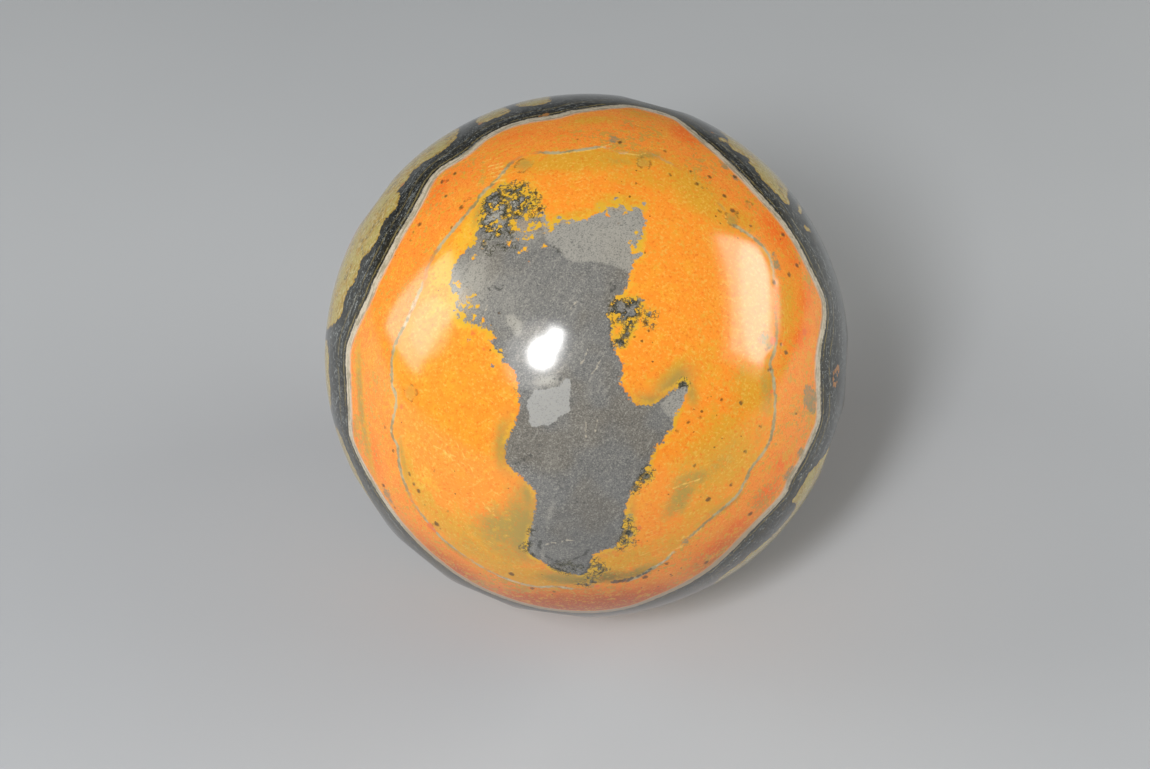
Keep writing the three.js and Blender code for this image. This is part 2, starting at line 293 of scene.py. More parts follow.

# Soft stains, with some painted shade and a painted highlight: middle X and Y, half length, half width, turn
# in degrees from X, and strength.
STAINS = {
    Reading.GOLD: (
        (1, 30.3, 12, 2.4, 4, 1.0), (17, 25.5, 9, 3.6, -45, 0.9), (9, 27, 7, 3, -10, 0.6),
        (24.5, 21.5, 3, 2, -30, 0.8), (1, 40.5, 5, 1.6, 12, 0.8), (9.5, 43.5, 4, 2, -10, 0.7),
        (11, 38, 4, 5, 0, 0.45), (-28.2, -18.5, 5.5, 1.8, 88, 0.8), (-26.5, -22.5, 4, 2.4, -60, 0.95),
        (-22, -28, 6, 3, -45, 0.95), (-17, -31.0, 8, 4.2, -34, 1.15), (-10, -37, 8, 2.6, -12, 1.15),
        (3.5, -33.5, 8, 2.6, 18, 1.0), (14, -29, 5, 4, 50, 0.6), (20, -15, 7, 6, 60, 1.0),
        (24.5, -5, 4, 4.5, 0, 0.8), (16, -1, 6, 2.5, 20, 0.5), (12, -2, 3, 1, 35, 0.8),
        (31.6, 7, 6, 2.0, 80, 0.8), (30.5, -1.5, 3, 1.4, 80, 0.5), (38.5, -11.5, 1.6, 3, 0, 0.6),
        (33.3, -16, 2, 1.2, 30, 0.6), (26.5, 27.5, 3, 1.2, -45, 0.3), (-15, 33.5, 3, 1, 40, 0.5),
        (-38.1, -3, 6, 1.1, 90, 1.1), (-37.8, -14, 7, 1.1, 90, 1.1), (18, -23, 6, 3, 45, 0.7),
        (2.5, 4.8, 0.7, 3.4, 0, 0.7), (14.8, -5.2, 1, 2.4, 30, 0.7), (-1, 20.3, 5, 0.9, 10, 0.7),
        (5, 22.6, 4, 1.4, 0, 0.8), (24, -36, 2, 0.8, 45, 0.4), (-30.5, -33, 1, 3, 40, 0.3),
    ),
    Reading.OLIVE: (
        (-10.2, -26, 3.0, 6.0, -4, 1.1), (-13.0, -26.6, 4.6, 3.8, 20, 1.0),
        (-13.2, -31.0, 4.0, 2.2, -20, 0.7), (-18, -31.5, 8, 3.4, -34, 0.35),
        (13.8, -21, 1.9, 4.2, -24, 0.85), (15.5, -18, 4, 1.6, 20, 0.7), (22, -2.5, 3, 2, 20, 0.3),
        (12.4, -3.2, 2.4, 0.7, 38, 0.6),
        (9.5, -6.0, 2.4, 0.7, 10, 0.5), (-12.2, -13.0, 0.8, 3.4, -4, 0.7), (-8.6, -20.5, 0.8, 2.6, 0, 0.8),
        (-2.4, -37.2, 5, 1.5, 2, 0.95), (8, -35.6, 4.5, 1.3, 25, 0.9), (27.2, -5.0, 5.0, 1.5, 92, 0.65),
        (-38.2, -8, 10, 0.9, 90, 0.95),
        (26.4, -11.5, 3.6, 1.4, 75, 0.45), (21, -14, 5, 2.4, 60, 0.3),
        (9.8, 32, 3, 1.2, 0, 0.7), (4.5, 30, 3, 1, 0, 0.4),
        (-29.3, -16, 5, 0.7, 92, 0.6), (-29.2, 0.6, 2.2, 0.6, 60, 0.6), (39.2, 5.6, 0.9, 1.5, 0, 0.5),
        (-22.6, -33.2, 3.5, 0.8, -42, 0.6), (22.6, 21.2, 1.2, 1.0, 0, 0.7), (-10, 30, 2, 1.4, 0, 0.5),
        (20, -24.2, 4, 0.7, 42, 0.6), (-14.2, 25.2, 1.6, 0.8, 40, 0.7), (-16.0, 21.8, 3.2, 0.9, 74, 0.8),
    ),
    Reading.YELLOW: (
        (-17.2, 18.8, 5.5, 1.8, 58, 1.0), (-20.6, 13, 4.5, 2.4, 65, 1.0), (-21.5, 7.5, 3, 3, 0, 0.6),
        (-9.8, 22.8, 3.6, 3.2, 0, 1.0), (-7.6, 18.6, 2.6, 1.2, 0, 0.7), (4.3, 4.6, 1.6, 2.4, 20, 0.25),
        (1.5, 20.2, 3, 0.8, 5, 0.5), (-25, -20, 4, 3, 0, 0.5), (-15.8, 24.0, 2.4, 1.0, 50, 0.9),
        (4.4, -29.6, 1.6, 0.8, 40, 0.7), (6.2, -24.0, 0.7, 3.0, 0, 0.6), (1.6, -34.2, 1.4, 1.4, 0, 0.7),
        (-13.6, -15, 6, 5, 30, 0.25), (-24, -2, 5, 4, 30, 0.3), (-18, 4.8, 2.2, 1.0, -20, 0.8),
        (-7.5, 15.2, 3.4, 2.0, 0, 1.2), (-16.4, 14.4, 1.6, 2.0, 0, 1.2), (6.6, 15.6, 1.4, 2.4, 0, 1.2),
        (-13.2, 18.6, 3.0, 4.6, 0, 1.0), (-17.2, 7.4, 2.6, 3.0, 0, 1.2),
    ),
    Reading.RED: (
        (31.5, 20.5, 4.5, 3, -50, 0.9), (34.5, 16.5, 3, 3, 0, 0.7), (17.5, 39, 3.4, 2.8, -45, 1.0),
        (7.5, 38.6, 3, 1.4, 0, 0.6), (36.5, 9.5, 4, 2.4, 70, 0.7), (34.5, 3, 4, 2, 40, 0.8),
        (32, -17.8, 2.6, 1.8, 30, 0.9), (30, -23, 4, 2.4, 50, 0.9), (25, -28.5, 4, 2, 45, 0.8),
        (21, -32.5, 4, 2.4, 40, 0.8), (-24, 27.5, 5, 2, 65, 0.7), (-36, -17, 5, 1.6, 88, 0.7),
        (-41.2, -13.6, 3, 0.8, 90, 0.8), (-23, -39.6, 3, 1.6, -35, 0.9), (-9, -45, 10, 2.4, -5, 0.9),
        (8, -43, 10, 3, 10, 0.8), (-12, 37, 6, 1.6, 10, 0.55), (-4, 36.5, 5, 1.4, 0, 0.5),
        (-26, 14, 4, 2, 60, 0.4), (-20, 30, 5, 2.4, 45, 0.5), (5.4, 25, 3, 2, 20, 0.5),
        (-18, -20, 6, 3.5, 20, 0.35), (22.6, -7, 4, 2, 0, 0.5), (10, -24, 2.6, 5, -10, 0.4),
    ),
    # Painted shade, not a stain: darkens the lower part of the ball and of the heart, where the light falls
    # off.
    Reading.SHADE: (
        (2, -47, 24, 7, 3, 1.5), (24, -36, 11, 6, 45, 1.0), (-25, -40, 12, 5, -40, 1.1),
        (-0.5, -26, 7, 10, 0, 0.3), (36, -20, 6, 4, 60, 0.3),
    ),
    # Pale patches in the sand. The rows at (-5.2, -3.4) and (-5.6, -3.6) are a painted highlight: the key
    # light's glint on small pits just below its reflection.
    Reading.PALE: (
        (-10.0, 4.6, 1.3, 0.8, -40, 1.3), (-9.4, 3.5, 0.6, 0.9, 10, 1.1), (-13.4, 20.4, 1.3, 3.0, 0, 1.2),
        (-16.6, 10.4, 4.2, 5.4, 0, 0.8), (-12, 8, 6, 5, 30, 0.45), (-5.2, -3.4, 1.6, 0.7, 0, 1.1),
        (-10.4, 22.4, 1.2, 0.9, 0, 1.0), (-8.6, 17.2, 3.2, 2.0, 0, 0.6), (-5.6, -3.6, 2.2, 0.6, 5, 0.9),
        (-5.4, -23.2, 0.4, 2.6, -14, 0.7), (-5.0, -14.5, 1.4, 3.0, -20, 0.35),
        (0.4, -5.0, 1.2, 4.4, -25, 0.3), (-3.4, -30.4, 3.0, 1.9, 0, 0.3), (-6.9, -31, 0.5, 2, 0, 0.6),
        (-1, 1, 1.2, 3.5, -30, 0.35), (-8.6, -30, 0.8, 2.0, 0, 0.5), (4, 17, 6, 4, 0, 0.35),
        (-3, 9, 9, 4, 0, 0.25), (-2, -10, 4, 5, 0, 0.25), (-11.5, 3.2, 1.4, 2.2, 0, 0.35),
    ),
    Reading.MOTTLE: (
        (-8.2, 18.4, 3.4, 1.8, 0, 1.0), (-17.8, 6.6, 1.8, 3.6, -20, 1.0), (-14.2, 3.6, 2.2, 1.0, -10, 0.7),
        (-16.0, 16.4, 1.8, 1.6, 0, 0.7), (7.4, 16.6, 1.0, 1.8, 0, 0.7), (4.6, 21.6, 3.6, 0.9, 0, 0.9),
        (-3.4, 19.4, 2.4, 0.8, 0, 0.9), (12.6, -9.0, 2.0, 0.8, 60, 0.5), (-13.2, 19.0, 2.4, 4.2, 0, 0.25),
        (-11.2, 0.6, 1.6, 1.0, -20, 0.5), (9.4, -14, 1.4, 0.8, 60, 0.4), (5.4, 6.4, 1.8, 1.6, 0, 0.5),
        (-19.4, 11, 0.8, 2.4, 0, 0.5), (4.4, -29.6, 1.8, 0.6, 30, 0.4),
    ),
    Reading.HALO: (
        (-11.4, -12.6, 2.2, 4.2, 0, 0.8), (-8.6, -20.5, 1.8, 2.8, 0, 0.8), (-10.2, -26.5, 4.6, 6.0, 0, 1.0),
        (12.0, -3.4, 3.6, 1.8, 38, 1.0), (8.8, -6.2, 2.6, 1.4, 5, 0.9), (-3.0, -36.0, 6, 1.6, 0, 0.8),
        (6.4, -24.0, 0.8, 4.5, 0, 0.5), (14.6, -5.2, 0.8, 2.4, 20, 0.8), (3.6, -30.6, 2.4, 0.8, 20, 0.4),
    ),
    Reading.LACE: (
        (-11.4, 23.2, 4.6, 3.0, 10, 1.0), (-14.6, 21.0, 1.6, 3.2, 0, 1.0), (-13.0, 17.8, 2.4, 1.8, 0, 0.7),
        (5.4, 5.2, 2.6, 2.8, 40, 1.0), (5.0, 2.4, 1.2, 1.4, 0, 0.9), (8.4, -17.2, 1.4, 1.8, -30, 1.0),
        (6.2, -26.6, 1.2, 3.0, 0, 1.0), (-3.2, -33.6, 3.0, 1.4, 5, 0.9), (1.8, -34.2, 1.6, 1.8, 0, 1.0),
        (0.6, -37.6, 1.8, 1.0, 0, 1.0), (13.4, -4.0, 0.8, 0.8, 0, 1.0), (-12.0, 0.4, 2.0, 1.0, -30, 0.4),
        (-8.8, -30.2, 0.9, 2.4, 10, 0.8), (-0.2, -35.6, 1.6, 0.8, 0, 0.7),
    ),
    Reading.MOSS: (
        (2.0, -36.4, 6.5, 1.5, 6, 1.0), (8.6, -35.9, 3.6, 0.9, 28, 0.9), (-5.2, -37.0, 3.4, 1.2, -4, 0.55),
        (-9.2, -25.0, 1.0, 5.0, -4, 0.3),
        (27.9, -5.4, 3.4, 0.5, 92, 0.55), (-29.2, -16.6, 4.2, 0.5, 92, 0.45), (11.9, -3.6, 2.0, 0.4, 38, 0.3),
        (18, -16, 6, 4, 50, 0.22), (-17, -30.6, 6, 3, -38, 0.22), (22, -24, 4, 0.6, 42, 0.6),
        (-22.6, -33.6, 3.5, 0.6, -42, 0.5), (9.6, 31.6, 2.6, 0.7, 0, 0.4), (22.6, 20.9, 1.0, 0.6, 0, 0.5),
    ),
    Reading.SPECK: (
        (15.6, -7.4, 2.2, 3.0, -20, 1.0), (7.8, 3.4, 1.6, 2.6, 0, 1.0), (5.4, 24.4, 3.6, 2.0, -15, 0.8),
        (8.2, -26.6, 1.6, 1.4, 0, 0.9), (-10, -41, 6, 1, 0, 0.7), (16, -36, 9, 1.6, 42, 0.8),
        (-15, -39, 5, 1.4, -20, 0.7), (21.5, 22.5, 3.5, 2.0, 0, 0.5), (-28, -21, 1.4, 3.6, 10, 0.7),
        (32, 18, 4, 2, -50, 0.5), (18.5, -14.5, 4, 1.4, 55, 0.6), (-14, 1.5, 2, 1, 0, 0.7),
        (20, 27, 5, 2, -45, 0.5), (-20, -24, 6, 3, -40, 0.3), (11, -35.6, 4, 0.8, 30, 0.6),
    ),
    Reading.LOST_VEIN: (
        (9, 31.5, 7, 3, -25, 0.85), (17, 27.5, 6, 3, -45, 1.0), (-9.5, 31.8, 2.4, 2, 0, 0.6),
        (29.2, 10, 5, 2, 90, 0.8), (-28, -24.5, 3, 2, -60, 0.5), (4, -38.8, 7, 1.6, 8, 0.85),
        (-24, 12, 6, 1.6, 60, 0.5), (-19, -35.5, 6, 2, -35, 0.6), (-9, -39.6, 5, 1.6, 0, 0.5),
        (15.2, -30.4, 2, 1.4, 30, 1.0),
        (21.4, 21.4, 1.2, 1.6, 0, 1.0),
    ),
}

# Strokes: half the width, and the places that each one runs through.
STROKES = {
    Reading.CRUST: (
        (0.22, (-15.3, 19.4), (-15.6, 20.6), (-15.2, 21.6), (-15.3, 22.8), (-14.9, 23.6)),
        (0.28, (-14.9, 23.4), (-14.2, 24.0), (-13.6, 24.1), (-13.2, 24.8), (-13.4, 25.2)),
        (0.34, (-13.2, 24.6), (-12.9, 23.8), (-12.0, 23.6), (-11.6, 23.4)),
        (0.20, (-13.9, 23.3), (-13.0, 23.2)),
        (0.28, (-12.4, 22.8), (-12.0, 22.2), (-11.8, 21.6), (-12.3, 21.6)),
        (0.22, (-12.0, 21.3), (-12.1, 20.6), (-11.4, 20.9), (-10.9, 20.8)),
        (0.28, (-11.0, 24.6), (-10.6, 25.2), (-10.6, 24.4), (-10.2, 24.2), (-9.6, 24.0), (-9.2, 23.7)),
        (0.14, (-11.0, 26.2), (-10.8, 25.6), (-10.5, 25.0)),
        (0.18, (-9.8, 25.3), (-9.6, 25.8), (-9.3, 25.5)),
        (0.14, (-12.2, 25.4), (-11.4, 25.5), (-11.2, 25.2)),
        (0.17, (-9.2, 24.4), (-8.2, 24.2), (-7.6, 24.3), (-7.4, 23.6), (-7.2, 22.9), (-7.6, 22.6)),
        (0.15, (-8.9, 23.2), (-8.9, 22.6), (-8.5, 22.3)),
        (0.20, (-8.2, 22.3), (-7.8, 21.9), (-8.4, 21.8), (-9.1, 21.6), (-9.4, 22.0)),
        (0.24, (-9.8, 21.7), (-9.7, 21.1), (-10.1, 20.9)),
        (0.24, (-10.0, 20.6), (-10.8, 20.3), (-11.4, 19.9)),
        (0.15, (-11.0, 22.6), (-10.9, 22.2)),
        (0.15, (-11.3, 21.9), (-10.9, 21.2)),
        (0.18, (-11.6, 24.1), (-11.3, 24.4)),
        (0.18, (-10.3, 23.9), (-10.1, 23.3)),
        (0.28, (-6.9, 21.2), (-6.7, 21.3)),
        (0.14, (-7.9, 20.5), (-7.7, 19.9)),
        (0.22, (-14.9, 18.7), (-14.2, 19.0), (-13.8, 18.7), (-14.0, 18.0)),
        (0.18, (-13.8, 17.4), (-13.2, 17.8), (-12.6, 17.8)),
        (0.20, (-12.2, 17.7), (-11.6, 18.0), (-11.1, 17.7), (-11.0, 17.2)),
        (0.14, (-11.6, 19.0), (-11.2, 19.2), (-11.0, 18.6)),
        (0.20, (-15.0, 22.2), (-14.4, 22.0), (-14.4, 21.2)),
        (0.12, (-14.6, 16.4), (-14.9, 15.8), (-14.4, 15.3), (-13.8, 14.9)),
        (0.10, (-13.0, 15.8), (-12.3, 15.6), (-11.6, 15.4)),
        (0.10, (-10.4, 15.2), (-10.6, 15.8)),
        (0.14, (3.5, 5.8), (3.6, 7.2), (4.8, 7.4)),
        (0.16, (5.6, 7.2), (6.3, 7.5), (6.9, 6.9)),
        (0.22, (6.9, 7.4), (7.0, 6.8), (6.7, 6.1)),
        (0.18, (6.6, 5.3), (5.9, 5.1), (5.0, 4.9)),
        (0.22, (4.4, 5.2), (4.0, 4.6)),
        (0.24, (5.9, 4.4), (5.6, 3.9), (5.4, 3.4), (5.1, 2.8), (4.9, 2.2)),
        (0.24, (4.8, 1.8), (4.2, 2.0), (3.8, 1.6)),
        (0.12, (6.2, 4.4), (6.4, 4.0)),
        (0.17, (8.3, 5.6), (8.8, 5.5), (9.2, 5.7)),
        (0.17, (8.1, 4.4), (8.2, 4.3)),
        (0.12, (8.9, 4.2), (9.0, 4.1)),
        (0.28, (8.2, -16.4), (8.6, -16.9), (8.9, -17.2)),
        (0.14, (9.3, -16.7), (9.0, -17.1)),
        (0.28, (8.2, -17.4), (7.8, -17.8), (8.2, -18.1)),
        (0.26, (7.4, -18.4), (7.0, -18.9), (6.9, -19.4)),
        (0.18, (6.2, -24.4), (6.2, -25.2), (6.3, -26.0)),
        (0.34, (6.4, -26.5), (6.8, -26.8), (6.2, -27.0)),
        (0.10, (7.0, -26.4), (7.4, -26.2)),
        (0.20, (5.7, -27.4), (5.6, -28.0)),
        (0.24, (5.3, -28.6), (5.9, -28.7), (6.3, -28.5)),
        (0.18, (6.9, -28.6), (7.1, -28.9)),
        (0.20, (6.0, -29.3), (5.8, -29.6), (5.1, -29.9)),
        (0.24, (1.2, -33.6), (1.6, -33.2), (2.0, -33.3), (2.4, -33.2)),
        (0.20, (2.4, -33.3), (2.3, -33.8), (2.8, -34.2), (3.1, -34.1)),
        (0.22, (2.9, -34.4), (2.4, -35.0), (2.0, -35.4), (1.8, -35.7)),
        (0.18, (1.9, -34.7), (1.3, -34.9), (1.1, -34.5)),
        (0.14, (0.9, -35.2), (0.5, -35.7)),
        (0.20, (0.2, -36.2), (0.2, -36.7)),
        (0.30, (0.7, -37.2), (1.0, -37.6), (1.5, -37.6)),
        (0.32, (-0.2, -38.0), (0.1, -38.5)),
        (0.22, (-1.3, -38.1), (-1.1, -38.3)),
        (0.14, (1.3, -31.9), (1.0, -32.3)),
        (0.24, (-4.6, -33.0), (-4.0, -33.5), (-3.2, -33.2), (-2.4, -33.0), (-3.0, -32.6)),
        (0.20, (-2.3, -33.6), (-1.8, -33.3), (-1.4, -33.6)),
        (0.18, (-2.4, -34.0), (-1.9, -34.3)),
        (0.18, (-1.1, -33.8), (-0.9, -33.9)),
        (0.20, (-5.2, -34.1), (-4.6, -34.4)),
        (0.18, (-4.1, -34.9), (-3.7, -34.5)),
        (0.14, (-3.3, -35.3), (-2.9, -35.2)),
        (0.14, (-9.0, -29.0), (-9.3, -29.4)),
        (0.14, (-8.2, -26.3), (-8.6, -26.8)),
        (0.14, (-9.6, -30.3), (-10.0, -30.0)),
        (0.16, (13.2, -4.0), (13.5, -3.7), (13.7, -3.9)),
    ),
    Reading.CRACK: (
        (0.12, (-10.0, -15.4), (-9.5, -15.2), (-9.3, -14.8), (-8.8, -14.5), (-8.2, -14.2), (-7.7, -14.0)),
        (0.08, (-6.1, -16.7), (-5.7, -17.0), (-5.3, -16.7), (-5.0, -16.4)),
        (0.06, (-2.8, -20.7), (-1.8, -20.8), (-1.0, -21.2), (-0.3, -21.2)),
        (0.12, (-4.9, 15.4), (-4.3, 15.1), (-3.9, 14.6), (-3.4, 14.1)),
        (0.08, (-6.9, 14.7), (-7.4, 14.2)),
        (0.14, (3.2, 10.0), (3.9, 9.4), (3.4, 8.8)),
        (0.10, (-14.0, 9.8), (-13.6, 9.4), (-14.2, 9.0)),
        (0.22, (-7.1, -28.4), (-7.3, -29.2), (-7.0, -30.6)),
        (0.45, (4.6, -37.7), (6.2, -37.6), (7.6, -37.0)),
        (0.34, (8.2, -36.8), (9.6, -36.0), (10.6, -35.0)),
        (0.10, (-13.0, 9.8), (-12.2, 9.2), (-11.4, 9.9)),
        (0.16, (-6.6, -31.2), (-5.6, -32.1), (-4.6, -32.6)),
        (0.18, (-2.0, -31.9), (-1.2, -31.4), (-0.4, -31.0), (0.1, -30.3), (0.3, -29.9)),
        (0.10, (2.0, -27.9), (2.1, -28.1)),
        (0.14, (3.9, -26.1), (4.1, -26.2)),
        (0.12, (-12.2, 6.0), (-12.0, 6.0)),
        (0.14, (2.5, 13.9), (2.6, 13.9)),
        (0.10, (-10.0, -4.5), (-9.7, -5.5)),
        (0.08, (-4.6, -3.0), (-3.8, -3.3), (-3.4, -3.0)),
    ),
    Reading.SCRATCH: (
        (0.10, (-6.4, -29.0), (-5.9, -28.8), (-5.2, -28.5), (-4.6, -28.6)),
        (0.07, (-3.8, -28.3), (-3.0, -27.9), (-2.4, -28.0), (-1.6, -28.2), (-0.6, -28.2)),
        (0.06, (0.2, 0.9), (-0.2, -0.2), (-0.8, -1.2)),
        (0.06, (0.6, -2.6), (1.4, -1.6), (1.8, -0.6)),
        (0.05, (-0.1, -12.2), (-0.1, -9.0)),
        (0.05, (1.2, -10.4), (1.4, -8.8)),
        (0.08, (-14.6, 5.4), (-13.8, 7.0)),
        (0.06, (-2.2, 6.2), (-1.0, 8.0)),
        (0.08, (-4.2, -2.4), (-3.6, -2.0)),
        (0.11, (14.8, -30.4), (15.6, -30.2), (15.3, -29.4), (15.0, -28.8), (15.4, -28.4), (16.0, -28.5)),
        (0.12, (13.2, -32.4), (14.2, -31.0), (15.2, -30.8)),
        (0.12, (17.0, -28.6), (17.6, -27.9), (18.2, -27.2)),
        (0.11, (21.6, 22.0), (21.4, 21.2), (21.8, 20.4), (22.6, 20.0), (24.0, 19.6)),
        (0.07, (12.6, -19.4), (14.4, -18.8), (16.2, -18.4), (17.0, -18.0)),
        (0.14, (-14.6, 26.6), (-13.4, 27.0), (-12.6, 26.9)),
        (0.10, (-4.6, 31.4), (-2.6, 31.8), (0.4, 32.2), (2.8, 33.2), (4.2, 33.9)),
        (0.09, (6.0, 31.8), (8.2, 31.6), (9.6, 32.4)),
        (0.12, (6.0, -24.0), (6.4, -23.4)),
        (0.12, (-15.8, 30.2), (-13.4, 30.6)),
        (0.12, (-15.6, 29.4), (-13.0, 29.9)),
        (0.12, (-15.4, 28.6), (-12.8, 29.0)),
        (0.12, (-15.0, 27.8), (-12.4, 28.1)),
        (0.07, (-23.0, -13.4), (-19.0, -15.0)),
        (0.05, (-22.5, -11.5), (-20.5, -13.2)),
        (0.06, (-21.0, -14.5), (-17.0, -17.5)),
        (0.05, (-19.4, -12.0), (-16.4, -17.4)),
        (0.05, (-24.5, -14.2), (-22.4, -15.6)),
        (0.05, (-16.0, -23.6), (-13.4, -22.8)),
        (0.05, (22.0, -1.0), (24.4, 2.6)),
        (0.05, (30.6, 2.0), (31.0, 9.0)),
        (0.05, (31.4, 3.4), (31.8, 8.2)),
        (0.06, (-17.6, -19.8), (-13.2, -25.0)),
        (0.06, (-24.4, -9.0), (-21.8, -9.6)),
    ),
}

# Spots: middle X and Y, and radius.
SPOTS = {
    Reading.DARK_SPOT: (
        (-19.2, 22.7, 0.5), (-18.8, 23.9, 0.3), (-18.0, 24.2, 0.3), (-20.5, 19.4, 0.32),
        (-24.0, 28.9, 0.45), (-22.9, 28.8, 0.42), (-21.8, 30.1, 0.45), (-22.5, 25.6, 0.3),
        (-26.8, 21.0, 0.5), (-27.8, 19.6, 0.32), (-28.0, 18.4, 0.34), (-35.6, -22.8, 0.5),
        (-28.4, -19.0, 0.4), (-27.8, -20.7, 0.42), (-27.1, -21.8, 0.5), (-24.8, -27.9, 0.55),
        (-22.0, -24.7, 0.3), (-12.7, -36.8, 0.55), (-9.5, -40.6, 0.5), (-23.3, -17.6, 0.32),
        (23.0, 22.8, 0.55), (23.8, 22.6, 0.35), (20.6, 22.3, 0.4), (26.0, 20.5, 0.4),
        (33.0, 20.3, 0.5), (35.2, 15.1, 0.5), (36.0, 15.6, 0.3), (32.8, 13.1, 0.45),
        (29.3, 11.4, 0.5), (30.0, 1.8, 0.36), (31.0, 0.5, 0.4), (19.4, -6.3, 0.34),
        (22.6, -6.9, 0.36), (22.2, -19.9, 0.4), (18.5, -21.9, 0.5), (23.9, -14.6, 0.35),
        (27.4, -26.4, 0.5), (9.8, -37.1, 0.55), (27.6, -2.1, 0.38), (19.9, 28.9, 0.45),
        (17.2, 26.9, 0.4), (18.2, 26.3, 0.3), (22.0, 25.5, 0.42), (13.0, 28.0, 0.34),
        (12.7, 33.2, 0.35), (5.3, 34.4, 0.45), (-1.5, 34.9, 0.3), (25.2, 30.4, 0.5),
        (15.7, -16.0, 0.3), (14.3, -9.3, 0.36), (12.7, -10.6, 0.3), (16.1, -8.8, 0.3),
        (8.0, 4.5, 0.34), (7.3, 5.6, 0.3), (-5.7, -41.0, 0.3), (20.8, -36.0, 0.5),
        (13.2, -34.2, 0.45), (5.6, -37.6, 0.5), (-6.9, 21.2, 0.42), (2.6, 13.9, 0.16),
        (-12.1, 6.0, 0.2), (4.6, 18.9, 0.2), (-34.2, -27.2, 0.34), (16.6, 29.4, 0.3),
        (-32.4, -11.5, 0.34), (-31.2, -15.3, 0.32), (26.4, -10.8, 0.3), (34.0, -9.4, 0.3),
    ),
    Reading.GREY_SPOT: (
        (37.4, -7.4, 1.7), (36.6, -5.8, 1.1), (38.4, -8.9, 1.0), (34.2, -20.4, 0.9),
        (34.9, -19.3, 0.6), (36.6, -16.6, 0.9), (37.2, -17.6, 0.6), (-35.3, -24.4, 1.0),
        (-34.8, -25.9, 0.6), (23.6, 32.4, 0.8), (25.0, 30.0, 0.6), (26.6, 2.6, 0.8),
        (27.6, 1.4, 0.6), (30.2, 14.4, 0.8), (30.0, 16.0, 0.5), (-7.4, 42.6, 0.5),
        (1.0, -38.4, 0.5), (6.4, -23.7, 0.4), (15.6, -29.6, 0.6), (4.4, 34.9, 0.8),
    ),
    Reading.RUST_SPOT: (
        (28.3, 2.2, 0.65), (1.7, -38.7, 0.45), (-26.3, -28.7, 0.7), (-25.8, -29.5, 0.5),
        (28.2, -5.5, 0.36), (-28.4, -7.8, 0.42), (-15.9, 3.1, 0.36), (-7.3, 43.0, 0.7),
        (-8.2, 42.6, 0.4), (-14.3, 0.9, 0.28), (8.0, -26.0, 0.34), (-34.3, 31.8, 0.6),
        (-20.6, 44.8, 0.6), (24.2, 43.0, 0.4), (35.5, 3.9, 0.6), (44.7, -3.3, 0.45), (45.4, -2.9, 0.45),
        (46.2, -2.5, 0.45), (46.9, -2.1, 0.5), (47.2, -2.9, 0.45), (46.6, -3.6, 0.4), (44.8, -4.3, 0.45),
        (45.2, -5.2, 0.5), (45.9, -5.5, 0.45), (46.6, -4.9, 0.4),
    ),
    Reading.RINGED_SPOT: (
        (8.9, 30.0, 1.2), (22.6, 21.3, 1.3), (-25.0, -28.6, 0.8), (27.0, 2.2, 1.4), (-9.7, 29.6, 1.5),
        (26.6, 24.6, 0.8), (-26.6, -5.6, 1.4),
    ),
}


@dataclass(frozen=True)
class FaceChart:
    """The map of the ball's surface, in millimetres, laid out from the middle of its patterned face.

    A place on the map is as far from its middle as it is along the ball. The map's rim, half a turn
    away, is the middle of the ball's back.
    """

    radius: float
    elevation: float

    @property
    def right(self) -> Vector:
        """The direction that is to the right on the face."""
        return Vector((1, 0, 0))

    @property
    def up(self) -> Vector:
        """The direction that is up on the face."""
        return Vector((0, math.sin(self.elevation), math.cos(self.elevation)))

    @property
    def out(self) -> Vector:
        """The direction that the face looks in."""
        return Vector((0, -math.cos(self.elevation), math.sin(self.elevation)))

    def read(self, directions: Field) -> tuple[Field, Field, Field]:
        """Find places on the map.

        Args:
            directions: Unit directions from the ball's middle, one row each.

        Returns:
            Their X and Y on the map, and their heights above the ball's middle towards the face's
            front, all in millimetres.
        """
        across = directions @ np.array(self.right)
        upward = directions @ np.array(self.up)
        forward = np.clip(directions @ np.array(self.out), -1, 1)
        sideways = np.maximum(np.hypot(across, upward), TINY)
        reach = self.radius * np.arccos(forward)
        return reach * across / sideways, reach * upward / sideways, self.radius * forward

    def direction(self, x: float, y: float) -> Vector:
        """Give the direction of a place on the map."""
        reach = math.hypot(x, y)
        turn = reach / self.radius
        across = (self.right * x + self.up * y) / max(reach, TINY)
        return self.out * math.cos(turn) + across * math.sin(turn)

    def lean(self, angle: float, forward: float) -> Vector:
        """Give the direction at an angle in degrees round the face that leans forward out of it."""
        turn = math.radians(angle)
        leaning = self.right * math.cos(turn) + self.up * math.sin(turn) + self.out * forward
        return leaning.normalized()


def away_from(starts: Field, ends: Field, x: Field, y: Field) -> Field:
    """Measure how far places are from the nearest of some straight pieces of line.

    Args:
        starts: Where the pieces start, one a row.
        ends: Where they end.
        x: The places' X.
        y: The places' Y.

    Returns:
        The distances.
    """
    nearest = np.full(x.shape, np.inf)
    for (ax, ay), (bx, by) in zip(starts, ends):
        dx, dy = bx - ax, by - ay
        along = np.clip(((x - ax) * dx + (y - ay) * dy) / (dx * dx + dy * dy + TINY ** 2), 0, 1)
        nearest = np.minimum(nearest, (x - ax - along * dx) ** 2 + (y - ay - along * dy) ** 2)
    return np.sqrt(nearest)


